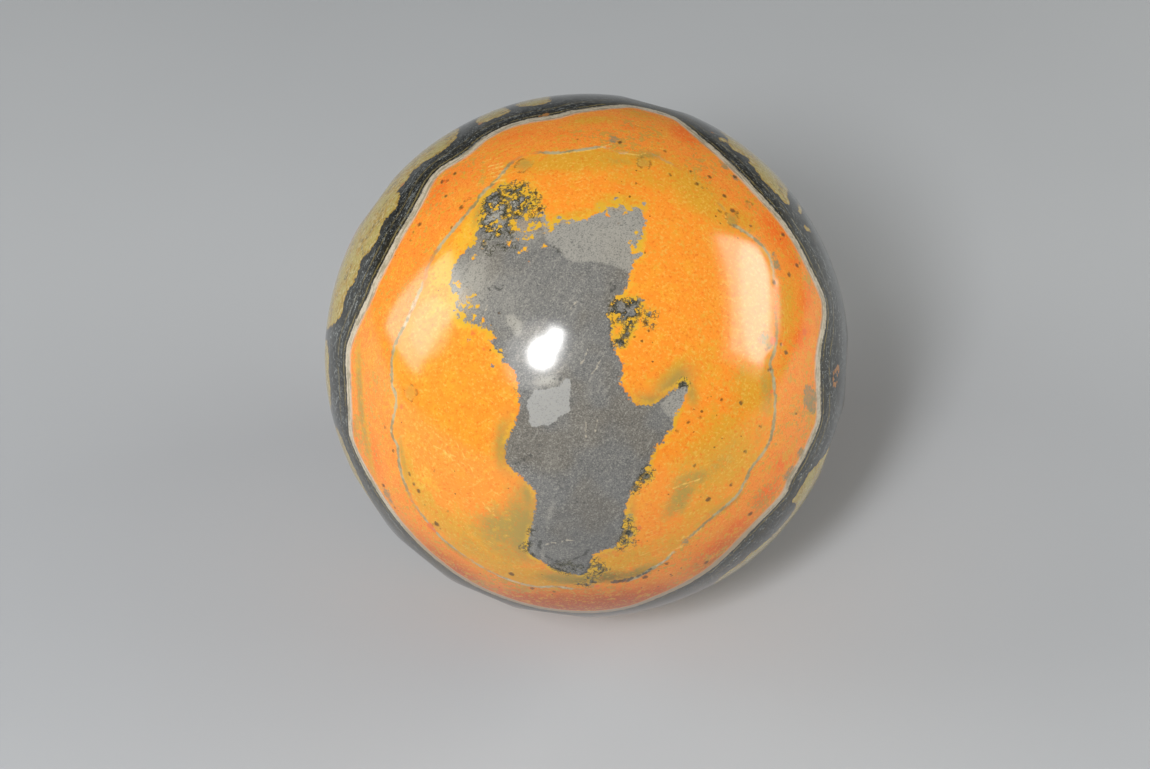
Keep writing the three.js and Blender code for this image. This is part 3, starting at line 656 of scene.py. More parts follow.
@dataclass(frozen=True)
class Stroke:
    """A stroke drawn on the face chart: half its width, and the places that it runs through."""

    half_width: float
    places: tuple[Place, ...]

    def inside(self, x: Field, y: Field, reach: float) -> Field:
        """Measure how far places lie inside the stroke.

        Args:
            x: Their X on the chart.
            y: Their Y on the chart.
            reach: How far outside it to measure. Places farther out count as this far.

        Returns:
            The distances in millimetres, negative outside.
        """
        line = np.array(self.places, float)
        low, high = line.min(0) - reach, line.max(0) + reach
        near = (x > low[0]) & (x < high[0]) & (y > low[1]) & (y < high[1])
        result = np.full(x.shape, -float(reach))
        if near.any():
            result[near] = self.half_width - away_from(line[:-1], line[1:], x[near], y[near])
        return np.maximum(result, -reach)


@dataclass(frozen=True)
class Outline:
    """A closed, smooth line through given places on the face chart."""

    places: tuple[Place, ...]
    steps: int = 4

    def line(self) -> Field:
        """Draw the line as a Catmull-Rom curve, one point a row."""
        knots = np.array(self.places, float)
        before, after, beyond = np.roll(knots, 1, 0), np.roll(knots, -1, 0), np.roll(knots, -2, 0)
        pieces = []
        for step in range(self.steps):
            t = step / self.steps
            pieces.append(0.5 * (
                2 * knots + (after - before) * t
                + (2 * before - 5 * knots + 4 * after - beyond) * t ** 2
                + (3 * knots - before - 3 * after + beyond) * t ** 3
            ))
        return np.stack(pieces, 1).reshape(-1, 2)

    def inside(self, x: Field, y: Field, reach: float) -> Field:
        """Measure how far places lie inside the line.

        Args:
            x: Their X on the chart.
            y: Their Y on the chart.
            reach: How far outside the line to measure. Places farther out count as this far.

        Returns:
            The distances in millimetres, negative outside.
        """
        starts = self.line()
        ends = np.roll(starts, -1, 0)
        low, high = starts.min(0) - reach, starts.max(0) + reach
        near = (x > low[0]) & (x < high[0]) & (y > low[1]) & (y < high[1])
        px, py = x[near], y[near]
        within = np.zeros(px.shape, bool)
        for (ax, ay), (bx, by) in zip(starts, ends):
            if ay != by:
                within ^= ((ay > py) != (by > py)) & (px < (bx - ax) * (py - ay) / (by - ay) + ax)
        result = np.full(x.shape, -float(reach))
        result[near] = np.where(within, 1, -1) * away_from(starts, ends, px, py)
        return np.maximum(result, -reach)

    def reach_at(self, angles: Field) -> Field:
        """Give how far from the chart's middle the line is, at angles round it in radians."""
        line = self.line()
        turns = np.arctan2(line[:, 1], line[:, 0])
        order = np.argsort(turns)
        return np.interp(angles, turns[order], np.hypot(*line[order].T), period=2 * math.pi)


@dataclass(frozen=True)
class Stratum:
    """One flat-lying layer behind the charcoal: its thickness in millimetres, and its colour."""

    name: str
    thickness: float
    colour: Colour


STRATA = (
    Stratum("charcoal", 16.6, srgb(36, 38, 36)),
    Stratum("olive line", 0.7, srgb(112, 100, 48)),
    Stratum("white line", 1.0, srgb(202, 192, 168)),
    Stratum("orange", 6.0, srgb(246, 128, 34)),
    Stratum("pale vein", 0.6, srgb(176, 178, 148)),
    Stratum("gold", 6.0, srgb(226, 160, 48)),
    Stratum("cream", 0.9, srgb(214, 200, 160)),
    Stratum("grey sand", 6.0, srgb(118, 116, 110)),
    Stratum("second white line", 0.9, srgb(206, 198, 178)),
    Stratum("dark", 6.4, srgb(48, 48, 44)),
    Stratum("tan", 2.6, srgb(158, 142, 92)),
    Stratum("dark line", 0.7, srgb(40, 38, 30)),
    Stratum("deep orange", 4.2, srgb(240, 116, 34)),
    Stratum("yellow core", 9.0, srgb(240, 170, 50)),
)
# How many of the layers, from the first, the nodules may reach down into.
LAYERS_OF_NODULES = 3


@dataclass(frozen=True)
class Wash:
    """A tint laid over the stone, that comes in as a value rises or falls from low to high."""

    value: Value
    low: float
    high: float
    strength: Value
    tint: Value | Colour


class StoneGraph:
    """The shader nodes of one finish, added and joined by short calls. Sizes are in millimetres."""

    def __init__(self, name: str) -> None:
        """Start a material of that name, measured over the piece in millimetres."""
        self.material = bpy.data.materials.new(name)
        self.material.use_nodes = True
        self.tree = self.material.node_tree
        self.shader = self.tree.nodes["Principled BSDF"]
        place = self.tree.nodes.new("ShaderNodeTexCoord").outputs["Object"]
        self.place = self.scaled(place, 1 / METRES)

    def join(self, value: Value, socket: Socket) -> None:
        """Put a number, a colour or another node's output into a socket."""
        if isinstance(value, bpy.types.NodeSocket):
            self.tree.links.new(value, socket)
        else:
            socket.default_value = value

    def scaled(self, place: Socket, factor: float) -> Socket:
        """Multiply places by a number."""
        node = self.tree.nodes.new("ShaderNodeVectorMath")
        node.operation = "SCALE"
        self.join(place, node.inputs[0])
        self.join(factor, node.inputs["Scale"])
        return node.outputs[0]

    def moved(self, place: Socket, shift: float) -> Socket:
        """Move places by the same distance along each axis, if by any."""
        if not shift:
            return place
        node = self.tree.nodes.new("ShaderNodeVectorMath")
        node.operation = "ADD"
        self.join(place, node.inputs[0])
        self.join((shift, shift, shift), node.inputs[1])
        return node.outputs[0]

    def sum(self, operation: Sum, first: Value, second: Value = 0.0) -> Socket:
        """Do one sum with numbers."""
        node = self.tree.nodes.new("ShaderNodeMath")
        node.operation = operation.value
        self.join(first, node.inputs[0])
        self.join(second, node.inputs[1])
        return node.outputs[0]

    def total(self, *values: Value) -> Value:
        """Add numbers up."""
        result = values[0]
        for value in values[1:]:
            result = self.sum(Sum.ADD, result, value)
        return result

    def times(self, first: Value, second: Value) -> Socket:
        """Multiply two numbers."""
        return self.sum(Sum.MULTIPLY, first, second)

    def less(self, first: Value, second: Value) -> Socket:
        """Take the second number from the first."""
        return self.sum(Sum.SUBTRACT, first, second)

    def rest(self, share: Value) -> Socket:
        """Give what a share leaves of the whole."""
        return self.less(1.0, share)

    def wobble(self, noise: Socket, amount: Value) -> Socket:
        """Turn a noise about one half into a wobble about nothing."""
        return self.times(self.less(noise, 0.5), amount)

    def reading(self, kind: Reading) -> Socket:
        """Read what the mesh keeps."""
        node = self.tree.nodes.new("ShaderNodeAttribute")
        node.attribute_name = kind.value
        return node.outputs["Fac"]

    def step(self, value: Value, low: float, high: float) -> Socket:
        """Rise smoothly from 0 where the value is low to 1 where it is high."""
        node = self.tree.nodes.new("ShaderNodeMapRange")
        node.interpolation_type = "SMOOTHSTEP"
        self.join(value, node.inputs["Value"])
        node.inputs["From Min"].default_value = low
        node.inputs["From Max"].default_value = high
        return node.outputs["Result"]

    def band(self, value: Value, middle: float, half: float, soft: float) -> Socket:
        """Give 1 where the value is within half of the middle, falling to 0 over the soft width."""
        away = self.sum(Sum.ABSOLUTE, self.less(value, middle))
        return self.step(away, half + soft, half)

    def noise(
        self, size: float, detail: float = 2.0, roughness: float = 0.5, place: Socket | None = None,
        shift: float = 0.0,
    ) -> Socket:
        """Make a cloudy noise.

        Args:
            size: How large its clouds are.
            detail: How many finer noises are added.
            roughness: How strong the finer ones are.
            place: Where it is read, if that isn't the plain place on the piece.
            shift: How far the noise is moved, so that two of them differ.

        Returns:
            The noise, about one half.
        """
        node = self.tree.nodes.new("ShaderNodeTexNoise")
        self.join(self.moved(self.place if place is None else place, shift), node.inputs["Vector"])
        node.inputs["Scale"].default_value = 1 / size
        node.inputs["Detail"].default_value = detail
        node.inputs["Roughness"].default_value = roughness
        return node.outputs["Fac"]

    def brightness(self, colour: Socket) -> Socket:
        """Turn a colour into how bright it is."""
        node = self.tree.nodes.new("ShaderNodeRGBToBW")
        self.join(colour, node.inputs[0])
        return node.outputs[0]

    def laminated(self, depth: Socket, across: float, along: float) -> Socket:
        """Make a noise that lies in thin sheets.

        Args:
            depth: How deep a place lies, across the sheets.
            across: How many sheets there are to a millimetre.
            along: How many patches there are to a millimetre along a sheet.

        Returns:
            The noise, about one half.
        """
        apart = self.tree.nodes.new("ShaderNodeSeparateXYZ")
        self.join(self.place, apart.inputs[0])
        together = self.tree.nodes.new("ShaderNodeCombineXYZ")
        self.join(self.times(depth, across), together.inputs["X"])
        self.join(self.times(apart.outputs["X"], along), together.inputs["Y"])
        self.join(self.times(apart.outputs["Z"], along), together.inputs["Z"])
        return self.noise(1.0, 3, 0.6, place=together.outputs[0])

    def cells(self, size: float, output: str, shift: float) -> Socket:
        """Make a pattern of cells, and give the Distance to their middles or their Color."""
        node = self.tree.nodes.new("ShaderNodeTexVoronoi")
        self.join(self.moved(self.place, shift), node.inputs["Vector"])
        node.inputs["Scale"].default_value = 1 / size
        return node.outputs[output]

    def mix(self, share: Value, first: Value | Colour, second: Value | Colour) -> Socket:
        """Mix two colours.

        Args:
            share: How much of the second there is.
            first: The colour underneath.
            second: The colour on top.

        Returns:
            The mixed colour.
        """
        node = self.tree.nodes.new("ShaderNodeMix")
        node.data_type = "RGBA"
        self.join(share, node.inputs[0])
        self.join(first, node.inputs[6])
        self.join(second, node.inputs[7])
        return node.outputs[2]

    def washed(self, colour: Value | Colour, *washes: Wash) -> Value | Colour:
        """Lay washes over a colour, one after another."""
        for wash in washes:
            share = self.times(self.step(wash.value, wash.low, wash.high), wash.strength)
            colour = self.mix(share, colour, wash.tint)
        return colour

    def stretched(self, along: tuple[float, float, float], length: float, width: float) -> Socket:
        """Give places squeezed along a direction, so that a noise read there is streaky."""
        node = self.tree.nodes.new("ShaderNodeMapping")
        node.vector_type = "TEXTURE"
        node.inputs["Rotation"].default_value = Vector(along).to_track_quat("X", "Z").to_euler()
        node.inputs["Scale"].default_value = (length, width, width)
        self.join(self.place, node.inputs["Vector"])
        return node.outputs["Vector"]


@dataclass(frozen=True)
class Noises:
    """The noises that the parts of the stone share, from broad clouds down to single grains."""

    broad: Socket
    cloud: Socket
    edge: Socket
    crumb: Socket
    fine: Socket
    grain: Socket


@dataclass(frozen=True)
class JasperFinish:
    """The polished stone: grey sand in orange, ringed by a vein, a white rind and charcoal."""

    orange: Colour = srgb(252, 151, 46)
    outer_orange: Colour = srgb(250, 148, 54)
    red: Colour = srgb(250, 122, 36)
    # Painted shade: the darker red-orange laid over the lower part of the ball, where the light falls off.
    deep: Colour = srgb(188, 84, 10)
    gold: Colour = srgb(226, 162, 46)
    olive: Colour = srgb(180, 150, 70)
    halo: Colour = srgb(172, 146, 74)
    yellow: Colour = srgb(240, 180, 52)
    pale_yellow: Colour = srgb(252, 206, 104)
    brick: Colour = srgb(226, 100, 28)
    heart: Colour = srgb(121, 120, 117)
    pale_sand: Colour = srgb(174, 170, 160)
    # Dark sand in the heart; also laid on as painted shade over the heart's lower part.
    dark_and_shaded_sand: Colour = srgb(84, 84, 83)
    brown_sand: Colour = srgb(120, 112, 98)
    crystal: Colour = srgb(173, 172, 168)
    mottle: Colour = srgb(176, 152, 122)
    mustard: Colour = srgb(220, 176, 52)
    dendrite: Colour = srgb(44, 44, 32)
    grey_dendrite: Colour = srgb(104, 102, 86)
    crack: Colour = srgb(74, 74, 71)
    vein: Colour = srgb(176, 176, 142)
    dark_vein: Colour = srgb(128, 134, 96)
    white_vein: Colour = srgb(212, 204, 178)
    rind: Colour = srgb(206, 194, 172)
    # Painted shade: the rind's colour where the light falls off towards the bottom.
    shaded_rind: Colour = srgb(172, 150, 122)
    rind_streak: Colour = srgb(146, 134, 108)
    lining: Colour = srgb(38, 34, 20)
    gilt: Colour = srgb(146, 130, 78)
    pale_fleck: Colour = srgb(136, 140, 138)
    white_fleck: Colour = srgb(186, 190, 190)
    brown_fleck: Colour = srgb(84, 74, 44)
    black_fleck: Colour = srgb(14, 15, 14)
    tan: Colour = srgb(180, 162, 86)
    gold_tan: Colour = srgb(174, 140, 48)
    cream: Colour = srgb(204, 190, 138)
    moss: Colour = srgb(86, 80, 36)
    olive_moss: Colour = srgb(124, 114, 56)
    spot: Colour = srgb(98, 68, 32)
    grey_spot: Colour = srgb(136, 134, 104)
    rust: Colour = srgb(236, 116, 56)
    brown_rust: Colour = srgb(176, 118, 58)
    roughness: float = 0.13
    fine_roughness: float = 0.05
    cloudy_roughness: float = 0.06
    marks_roughness: float = 0.12
    refraction: float = 1.54
    relief_depth: float = 0.012
    relief_strength: float = 0.35
    layer_blur: float = 0.12
    nodule_end: float = 0.65
    speck_spacing: float = 1.1
    speck_shift: float = 71
    vein_half_width: float = 0.12
    vein_softness: float = 0.32
    rind_half_width: float = 0.72
    rind_softness: float = 0.3
    streak_direction: tuple[float, float, float] = (0.5, 0.6, 0.6)
    scratch_directions: tuple[tuple[float, float, float], ...] = ((0.8, -0.4, -0.4), (0.9, 0.25, 0.3))

    def build(self) -> bpy.types.Material:
        """Make the stone's material."""
        g = StoneGraph("polished_jasper")
        reads = {kind: g.reading(kind) for kind in Reading}
        n = Noises(
            broad=g.noise(9.0, 2),
            cloud=g.noise(2.6, 4, 0.6, shift=11),
            edge=g.noise(1.0, 4, 0.62, shift=23),
            crumb=g.noise(0.8, 3, 0.55, shift=59),
            fine=g.noise(0.42, 3, 0.6, shift=37),
            grain=g.noise(0.2, 2, 0.6, shift=41),
        )
        colour = self.layers(g, reads, n)
        colour = self.nodules(g, colour, reads, n)
        colour = self.orange_zones(g, colour, reads, n)
        colour = self.vein_ring(g, colour, reads, n)
        colour = self.rind_ring(g, colour, reads, n)
        colour = self.heart_zone(g, colour, reads, n)
        colour, dark = self.marks(g, colour, reads, n)
        g.join(colour, g.shader.inputs["Base Color"])

        gloss = g.total(
            self.roughness, g.wobble(n.fine, self.fine_roughness), g.wobble(n.cloud, self.cloudy_roughness),
            g.times(dark, self.marks_roughness),
        )
        g.join(gloss, g.shader.inputs["Roughness"])
        g.shader.inputs["IOR"].default_value = self.refraction
        self.relief(g, n, dark)
        return g.material

    @staticmethod
    def bent_depth(g: StoneGraph, reads: dict[Reading, Socket], n: Noises) -> Value:
        """Give the depth under the rind, bent a little as natural layers are."""
        return g.total(
            reads[Reading.DEPTH], g.wobble(n.broad, 5.0), g.wobble(n.cloud, 1.4), g.wobble(n.edge, 0.3),
        )

    def layers(self, g: StoneGraph, reads: dict[Reading, Socket], n: Noises) -> Socket:
        """Colour the flat-lying layers, from the charcoal round the face to the middle of the back."""
        bent = self.bent_depth(g, reads, n)
        colour = self.strata_ramp(g, bent)
        dim = g.step(g.brightness(colour), 0.14, 0.05)
        bright = g.rest(dim)
        lamina = g.laminated(bent, across=2.4, along=0.22)
        fleck = g.laminated(bent, across=2.2, along=1.1)
        paler = g.total(lamina, g.wobble(n.edge, 0.5))
        browner = g.total(lamina, g.wobble(n.crumb, 0.4))
        blacker = g.total(fleck, g.wobble(n.fine, 0.5))
        speckled = g.total(fleck, g.wobble(n.fine, 0.8))
        salt = g.total(n.grain, g.wobble(n.fine, 0.6), g.wobble(lamina, 0.4))
        return g.washed(
            colour,
            Wash(paler, 0.52, 0.66, g.times(dim, 0.36), self.pale_fleck),
            Wash(browner, 0.45, 0.34, g.times(dim, 0.6), self.brown_fleck),
            Wash(blacker, 0.46, 0.36, g.times(dim, 0.85), self.black_fleck),
            Wash(speckled, 0.6, 0.72, g.times(dim, 0.6), self.pale_fleck),
            Wash(salt, 0.58, 0.7, g.times(dim, 0.75), self.pale_fleck),
            Wash(salt, 0.7, 0.78, g.times(dim, 0.7), self.white_fleck),
            Wash(salt, 0.46, 0.34, g.times(dim, 0.8), self.black_fleck),
            Wash(lamina, 0.5, 0.68, g.times(bright, 0.35), self.rind),
            Wash(n.crumb, 0.45, 0.3, g.times(bright, 0.3), self.spot),
        )

    def strata_ramp(self, g: StoneGraph, depth: Value) -> Socket:
        """Give each depth the colour of its layer."""
        whole = sum(layer.thickness for layer in STRATA)
        ramp = g.tree.nodes.new("ShaderNodeValToRGB")
        g.join(g.times(depth, 1 / whole), ramp.inputs["Fac"])
        stops = []
        top = 0.0
        for layer in STRATA:
            stops.append(((top + self.layer_blur) / whole, layer.colour))
            top += layer.thickness
            stops.append(((top - self.layer_blur) / whole, layer.colour))
        stops_given = len(ramp.color_ramp.elements)
        for number, (place, colour) in enumerate(stops):
            if number < stops_given:
                stop = ramp.color_ramp.elements[number]
                stop.position = place
            else:
                stop = ramp.color_ramp.elements.new(place)
            stop.color = colour
        return ramp.outputs["Color"]

    def nodules(self, g: StoneGraph, under: Socket, reads: dict[Reading, Socket], n: Noises) -> Socket:
        """Lay the tan nodules into the charcoal, rounded off where they reach back towards its floor."""
        depth = self.bent_depth(g, reads, n)
        floor = sum(layer.thickness for layer in STRATA[:LAYERS_OF_NODULES])
        above = g.times(g.less(floor, depth), 1.2)
        sunk = g.sum(Sum.MOST, g.less(depth, self.nodule_end * floor), 0.0)
        rounded = g.total(reads[Reading.NODULE], g.times(g.times(sunk, sunk), -0.06))
        inside = g.total(
            g.sum(Sum.LEAST, rounded, above),
            g.wobble(n.edge, 2.2), g.wobble(n.crumb, 1.2), g.wobble(n.fine, 0.8),
        )
        patchy = g.step(g.total(n.cloud, g.wobble(n.edge, 0.4)), 0.42, 0.62)
        body = g.washed(
            g.mix(patchy, self.tan, self.gold_tan),
            Wash(g.total(n.crumb, g.wobble(n.cloud, 0.6)), 0.54, 0.66, 0.6, self.cream),
            Wash(g.total(n.edge, g.wobble(n.cloud, -0.6)), 0.44, 0.34, 0.55, self.moss),
            Wash(n.fine, 0.5, 0.66, 0.4, self.cream),
            Wash(n.fine, 0.45, 0.3, 0.5, self.moss),
        )
        rim = g.mix(g.step(inside, 0.0, 0.6), self.gold_tan, body)
        dark_rim = g.mix(g.times(g.band(inside, -0.35, 0.2, 0.4), 0.6), under, self.black_fleck)
        return g.mix(g.step(inside, -0.12, 0.12), dark_rim, rim)

    def orange_zones(self, g: StoneGraph, under: Socket, reads: dict[Reading, Socket], n: Noises) -> Socket:
        """Colour the two orange zones inside the rind, with their soft stains, the painted shade towards the
        bottom, and their grain.
        """
        inner = g.step(g.total(reads[Reading.VEIN], g.wobble(n.edge, 1.0)), -0.4, 0.5)
        outer = g.rest(inner)
        colour = g.mix(inner, self.outer_orange, self.orange)
        colour = g.washed(colour, Wash(n.cloud, 0.45, 0.7, 0.35, self.yellow))
        for kind, low, high, stain_and_shade in (
            (Reading.RED, 0.2, 0.9, self.red),
            (Reading.GOLD, 0.15, 0.85, self.gold),
            (Reading.YELLOW, 0.25, 0.75, self.yellow),
            (Reading.OLIVE, 0.15, 0.95, self.olive),
            (Reading.MOSS, 0.1, 1.1, self.olive_moss),
            # Painted shade, not a stain: the lower part of the ball darkened to deep red-orange.
            (Reading.SHADE, 0.1, 1.4, self.deep),
        ):
            broken_up = g.total(reads[kind], g.wobble(n.cloud, 0.6), g.wobble(n.crumb, 0.3), g.wobble(n.fine, 0.5))
            colour = g.mix(g.step(broken_up, low, high), colour, stain_and_shade)
        flecked = g.total(n.fine, g.wobble(n.edge, 0.5))
        clean = g.step(reads[Reading.OLIVE], 0.8, 0.1)
        blotched = g.total(n.edge, g.wobble(n.cloud, -0.6), g.wobble(n.fine, 0.5))
        greened = g.total(n.crumb, g.wobble(n.broad, 0.8), g.wobble(n.fine, 0.5))
        colour = g.washed(
            colour,
            Wash(flecked, 0.55, 0.68, g.times(clean, 0.4), self.pale_yellow),
            Wash(n.fine, 0.46, 0.3, 0.5, self.brick),
            Wash(n.grain, 0.5, 0.3, g.times(outer, 0.6), self.brick),
            Wash(blotched, 0.54, 0.68, g.total(0.22, g.times(outer, 0.5)), self.gold),
            Wash(greened, 0.58, 0.7, g.total(0.12, g.times(outer, 0.5)), self.olive),
            Wash(n.crumb, 0.56, 0.68, 0.3, self.yellow),
            Wash(n.crumb, 0.42, 0.3, 0.35, self.red),
        )
        for direction in self.scratch_directions:
            scratch = g.noise(1.0, 2, 0.5, place=g.stretched(direction, 3.4, 0.26))
            colour = g.washed(colour, Wash(scratch, 0.66, 0.76, 0.42, self.pale_yellow))
        colour = g.mix(g.times(self.specks(g, reads, n), 0.8), colour, self.spot)
        inside = g.step(g.total(reads[Reading.RIND], g.wobble(n.edge, 0.5)), -0.1, 0.1)
        return g.mix(inside, under, colour)

    def specks(self, g: StoneGraph, reads: dict[Reading, Socket], n: Noises) -> Socket:
        """Scatter small dark specks, thickest where the mesh says so."""
        away = g.cells(self.speck_spacing, "Distance", self.speck_shift)
        picked = g.brightness(g.cells(self.speck_spacing, "Color", self.speck_shift))
        chosen = g.step(g.total(picked, g.times(reads[Reading.SPECK], 0.5)), 0.82, 0.86)
        ragged = g.total(
            away, g.wobble(n.fine, 0.35), g.wobble(picked, 0.12), g.times(reads[Reading.SPECK], -0.07),
        )
        return g.times(g.step(ragged, 0.18, 0.1), chosen)

    def vein_ring(self, g: StoneGraph, under: Socket, reads: dict[Reading, Socket], n: Noises) -> Socket:
        """Draw the thin pale vein between the two orange zones."""
        near = g.total(reads[Reading.VEIN], g.wobble(n.edge, 0.6), g.wobble(n.fine, 0.35))
        kept = g.total(g.rest(reads[Reading.LOST_VEIN]), g.wobble(n.cloud, 1.6))
        shown = g.step(kept, 0.15, 0.85)
        shadow = g.times(g.band(near, 0.7, 0.2, 0.9), g.step(n.cloud, 0.4, 0.6))
        colour = g.mix(g.times(g.times(shadow, shown), 0.5), under, self.gold)
        away = g.total(g.sum(Sum.ABSOLUTE, near), g.wobble(n.crumb, 0.7))
        line = g.step(away, self.vein_half_width + self.vein_softness, self.vein_half_width)
        tint = g.mix(g.step(n.cloud, 0.42, 0.6), self.dark_vein, self.vein)
        tint = g.mix(g.step(g.total(n.broad, g.wobble(n.crumb, 0.6)), 0.57, 0.71), tint, self.white_vein)
        return g.mix(g.times(line, g.times(shown, 0.85)), colour, tint)

    def rind_ring(self, g: StoneGraph, under: Socket, reads: dict[Reading, Socket], n: Noises) -> Socket:
        """Draw the white rind, with its dark lining and the gilt lines beside it."""
        out = g.total(reads[Reading.RIND], g.wobble(n.edge, 0.7), g.wobble(n.fine, 0.3))
        along = g.laminated(reads[Reading.RIND], across=2.2, along=0.3)
        patchy = g.total(along, g.wobble(n.edge, 0.4))
        bent = g.total(out, g.wobble(n.cloud, 0.7), g.wobble(n.crumb, 0.4))
        broken_up = g.step(g.total(patchy, g.wobble(n.crumb, 0.8)), 0.36, 0.6)
        colour = under
        for middle, half, strength, tint in (
            (-1.15, 0.28, 0.95, self.lining),
            (-1.65, 0.1, 0.65, self.gilt),
            (-2.1, 0.2, 0.85, self.lining),
            (-3.9, 0.1, 0.42, self.gilt),
        ):
            line = g.band(bent, middle, half, 0.25)
            colour = g.mix(g.times(line, g.times(broken_up, strength)), colour, tint)
        rind = g.washed(
            self.rind,
            Wash(patchy, 0.56, 0.38, 0.75, self.rind_streak),
            Wash(n.fine, 0.5, 0.34, 0.5, self.rind_streak),
            # Painted shade: dims the rind towards the bottom of the ball.
            Wash(reads[Reading.SHADE], 0.0, 0.9, 0.85, self.shaded_rind),
            Wash(out, 0.25, 0.85, 0.6, self.outer_orange),
        )
        half = g.total(self.rind_half_width, g.wobble(along, 0.5))
        away = g.less(g.sum(Sum.ABSOLUTE, out), half)
        return g.mix(g.step(away, self.rind_softness, 0.0), colour, rind)

    def sand(self, g: StoneGraph, reads: dict[Reading, Socket], n: Noises) -> Socket:
        """Colour the heart's sand, with its paler lobes, its crystal and its streaks, painted shade towards
        its bottom and a small painted highlight.
        """
        lobe = g.total(reads[Reading.LOBE], g.wobble(n.edge, 0.9))
        pale = g.total(reads[Reading.PALE], g.wobble(n.cloud, 0.5), g.wobble(n.crumb, 0.4))
        streaks = g.noise(1.0, 3, 0.6, place=g.stretched(self.streak_direction, 4.0, 0.5))
        mottled = g.times(g.step(n.cloud, 0.35, 0.6), 0.6)
        crystal = g.total(reads[Reading.CRYSTAL], g.wobble(n.edge, 0.5), g.wobble(n.fine, 0.6))
        salt = g.total(n.grain, g.wobble(n.fine, 0.5))
        peppered = g.less(0.6, g.times(g.step(crystal, -0.1, 0.1), 0.35))
        return g.washed(
            self.heart,
            Wash(n.cloud, 0.5, 0.68, 0.35, self.dark_and_shaded_sand),
            Wash(n.broad, 0.45, 0.6, 0.5, self.brown_sand),
            Wash(lobe, -0.25, 0.25, 0.6, self.pale_sand),
            # Paler sand, with a painted highlight just below the key light's reflection.
            Wash(pale, 0.05, 1.0, 0.9, self.pale_sand),
            Wash(streaks, 0.54, 0.7, 0.32, self.pale_sand),
            Wash(streaks, 0.42, 0.3, 0.25, self.dark_and_shaded_sand),
            Wash(reads[Reading.MOTTLE], 0.3, 0.9, mottled, self.mottle),
            Wash(crystal, -0.1, 0.1, 0.9, self.crystal),
            Wash(salt, 0.52, 0.7, 0.55, self.pale_sand),
            Wash(salt, 0.48, 0.3, peppered, self.dark_and_shaded_sand),
            # Painted shade: darkens the heart's lower part, where the light falls off.
            Wash(reads[Reading.SHADE], 0.0, 0.6, 0.35, self.dark_and_shaded_sand),
        )

    def heart_zone(self, g: StoneGraph, under: Socket, reads: dict[Reading, Socket], n: Noises) -> Socket:
        """Lay in the grey heart, ragged at its edge, with the olive halo and the dark lace round it."""
        heart, halo, mottle = reads[Reading.HEART], reads[Reading.HALO], reads[Reading.MOTTLE]
        lace = g.step(reads[Reading.LACE], 0.15, 0.7)
        loose = g.total(1.2, g.times(mottle, 2.8), g.times(lace, 1.4))
        firm = g.rest(g.times(halo, 0.85))
        inside = g.total(
            heart, g.times(g.wobble(n.crumb, loose), firm), g.wobble(n.fine, 1.4),
            g.wobble(n.edge, g.times(mottle, 3.0)),
        )
        soft = g.times(halo, g.step(g.total(heart, g.wobble(n.cloud, 0.8)), -4.4, 0.0))
        colour = g.mix(g.times(soft, 0.95), under, self.halo)
        fringe = g.times(g.band(inside, -0.3, 0.1, 0.6), g.step(n.cloud, 0.4, 0.6))
        colour = g.mix(g.times(fringe, 0.5), colour, self.yellow)
        frayed = g.step(g.total(mottle, lace), 0.0, 0.5)
        colour = g.washed(colour, Wash(heart, -1.0, -0.2, g.times(frayed, 0.8), self.mustard))
        colour = g.mix(g.step(inside, -0.12, 0.12), colour, self.sand(g, reads, n))
        rim = g.times(g.band(inside, 0.22, 0.12, 0.2), g.step(n.edge, 0.36, 0.52))
        return g.mix(g.times(rim, g.times(lace, 0.85)), colour, self.dendrite)

    def marks(
        self, g: StoneGraph, under: Socket, reads: dict[Reading, Socket], n: Noises,
    ) -> tuple[Socket, Socket]:
        """Add the strokes and the spots.

        Args:
            g: The stone's graph.
            under: The colour so far.
            reads: What the mesh keeps.
            n: The stone's noises.

        Returns:
            The colour, and how dark and pitted each place is.
        """
        def frayed(kind: Reading, fray: float) -> Value:
            """Give how far places are inside the marks of one kind, with their edges frayed."""
            return g.total(reads[kind], g.wobble(n.crumb, fray), g.wobble(n.fine, fray))

        near = g.total(
            reads[Reading.CRUST], g.wobble(n.edge, 0.5), g.wobble(n.fine, 1.1), g.wobble(n.grain, 0.6),
        )
        outside = g.step(reads[Reading.HEART], 0.3, -0.3)
        colour = g.washed(under, Wash(near, -0.9, -0.1, g.times(outside, 0.35), self.mustard))
        lace = g.times(g.band(n.crumb, 0.5, 0.02, 0.035), g.step(near, -0.75, -0.35))
        crust = g.sum(Sum.MOST, g.step(near, 0.0, 0.14), g.times(lace, 0.85))
        greyed = g.step(g.total(n.grain, g.wobble(n.crumb, 0.8)), 0.46, 0.6)
        colour = g.mix(g.times(crust, 0.92), colour, g.mix(greyed, self.dendrite, self.grey_dendrite))

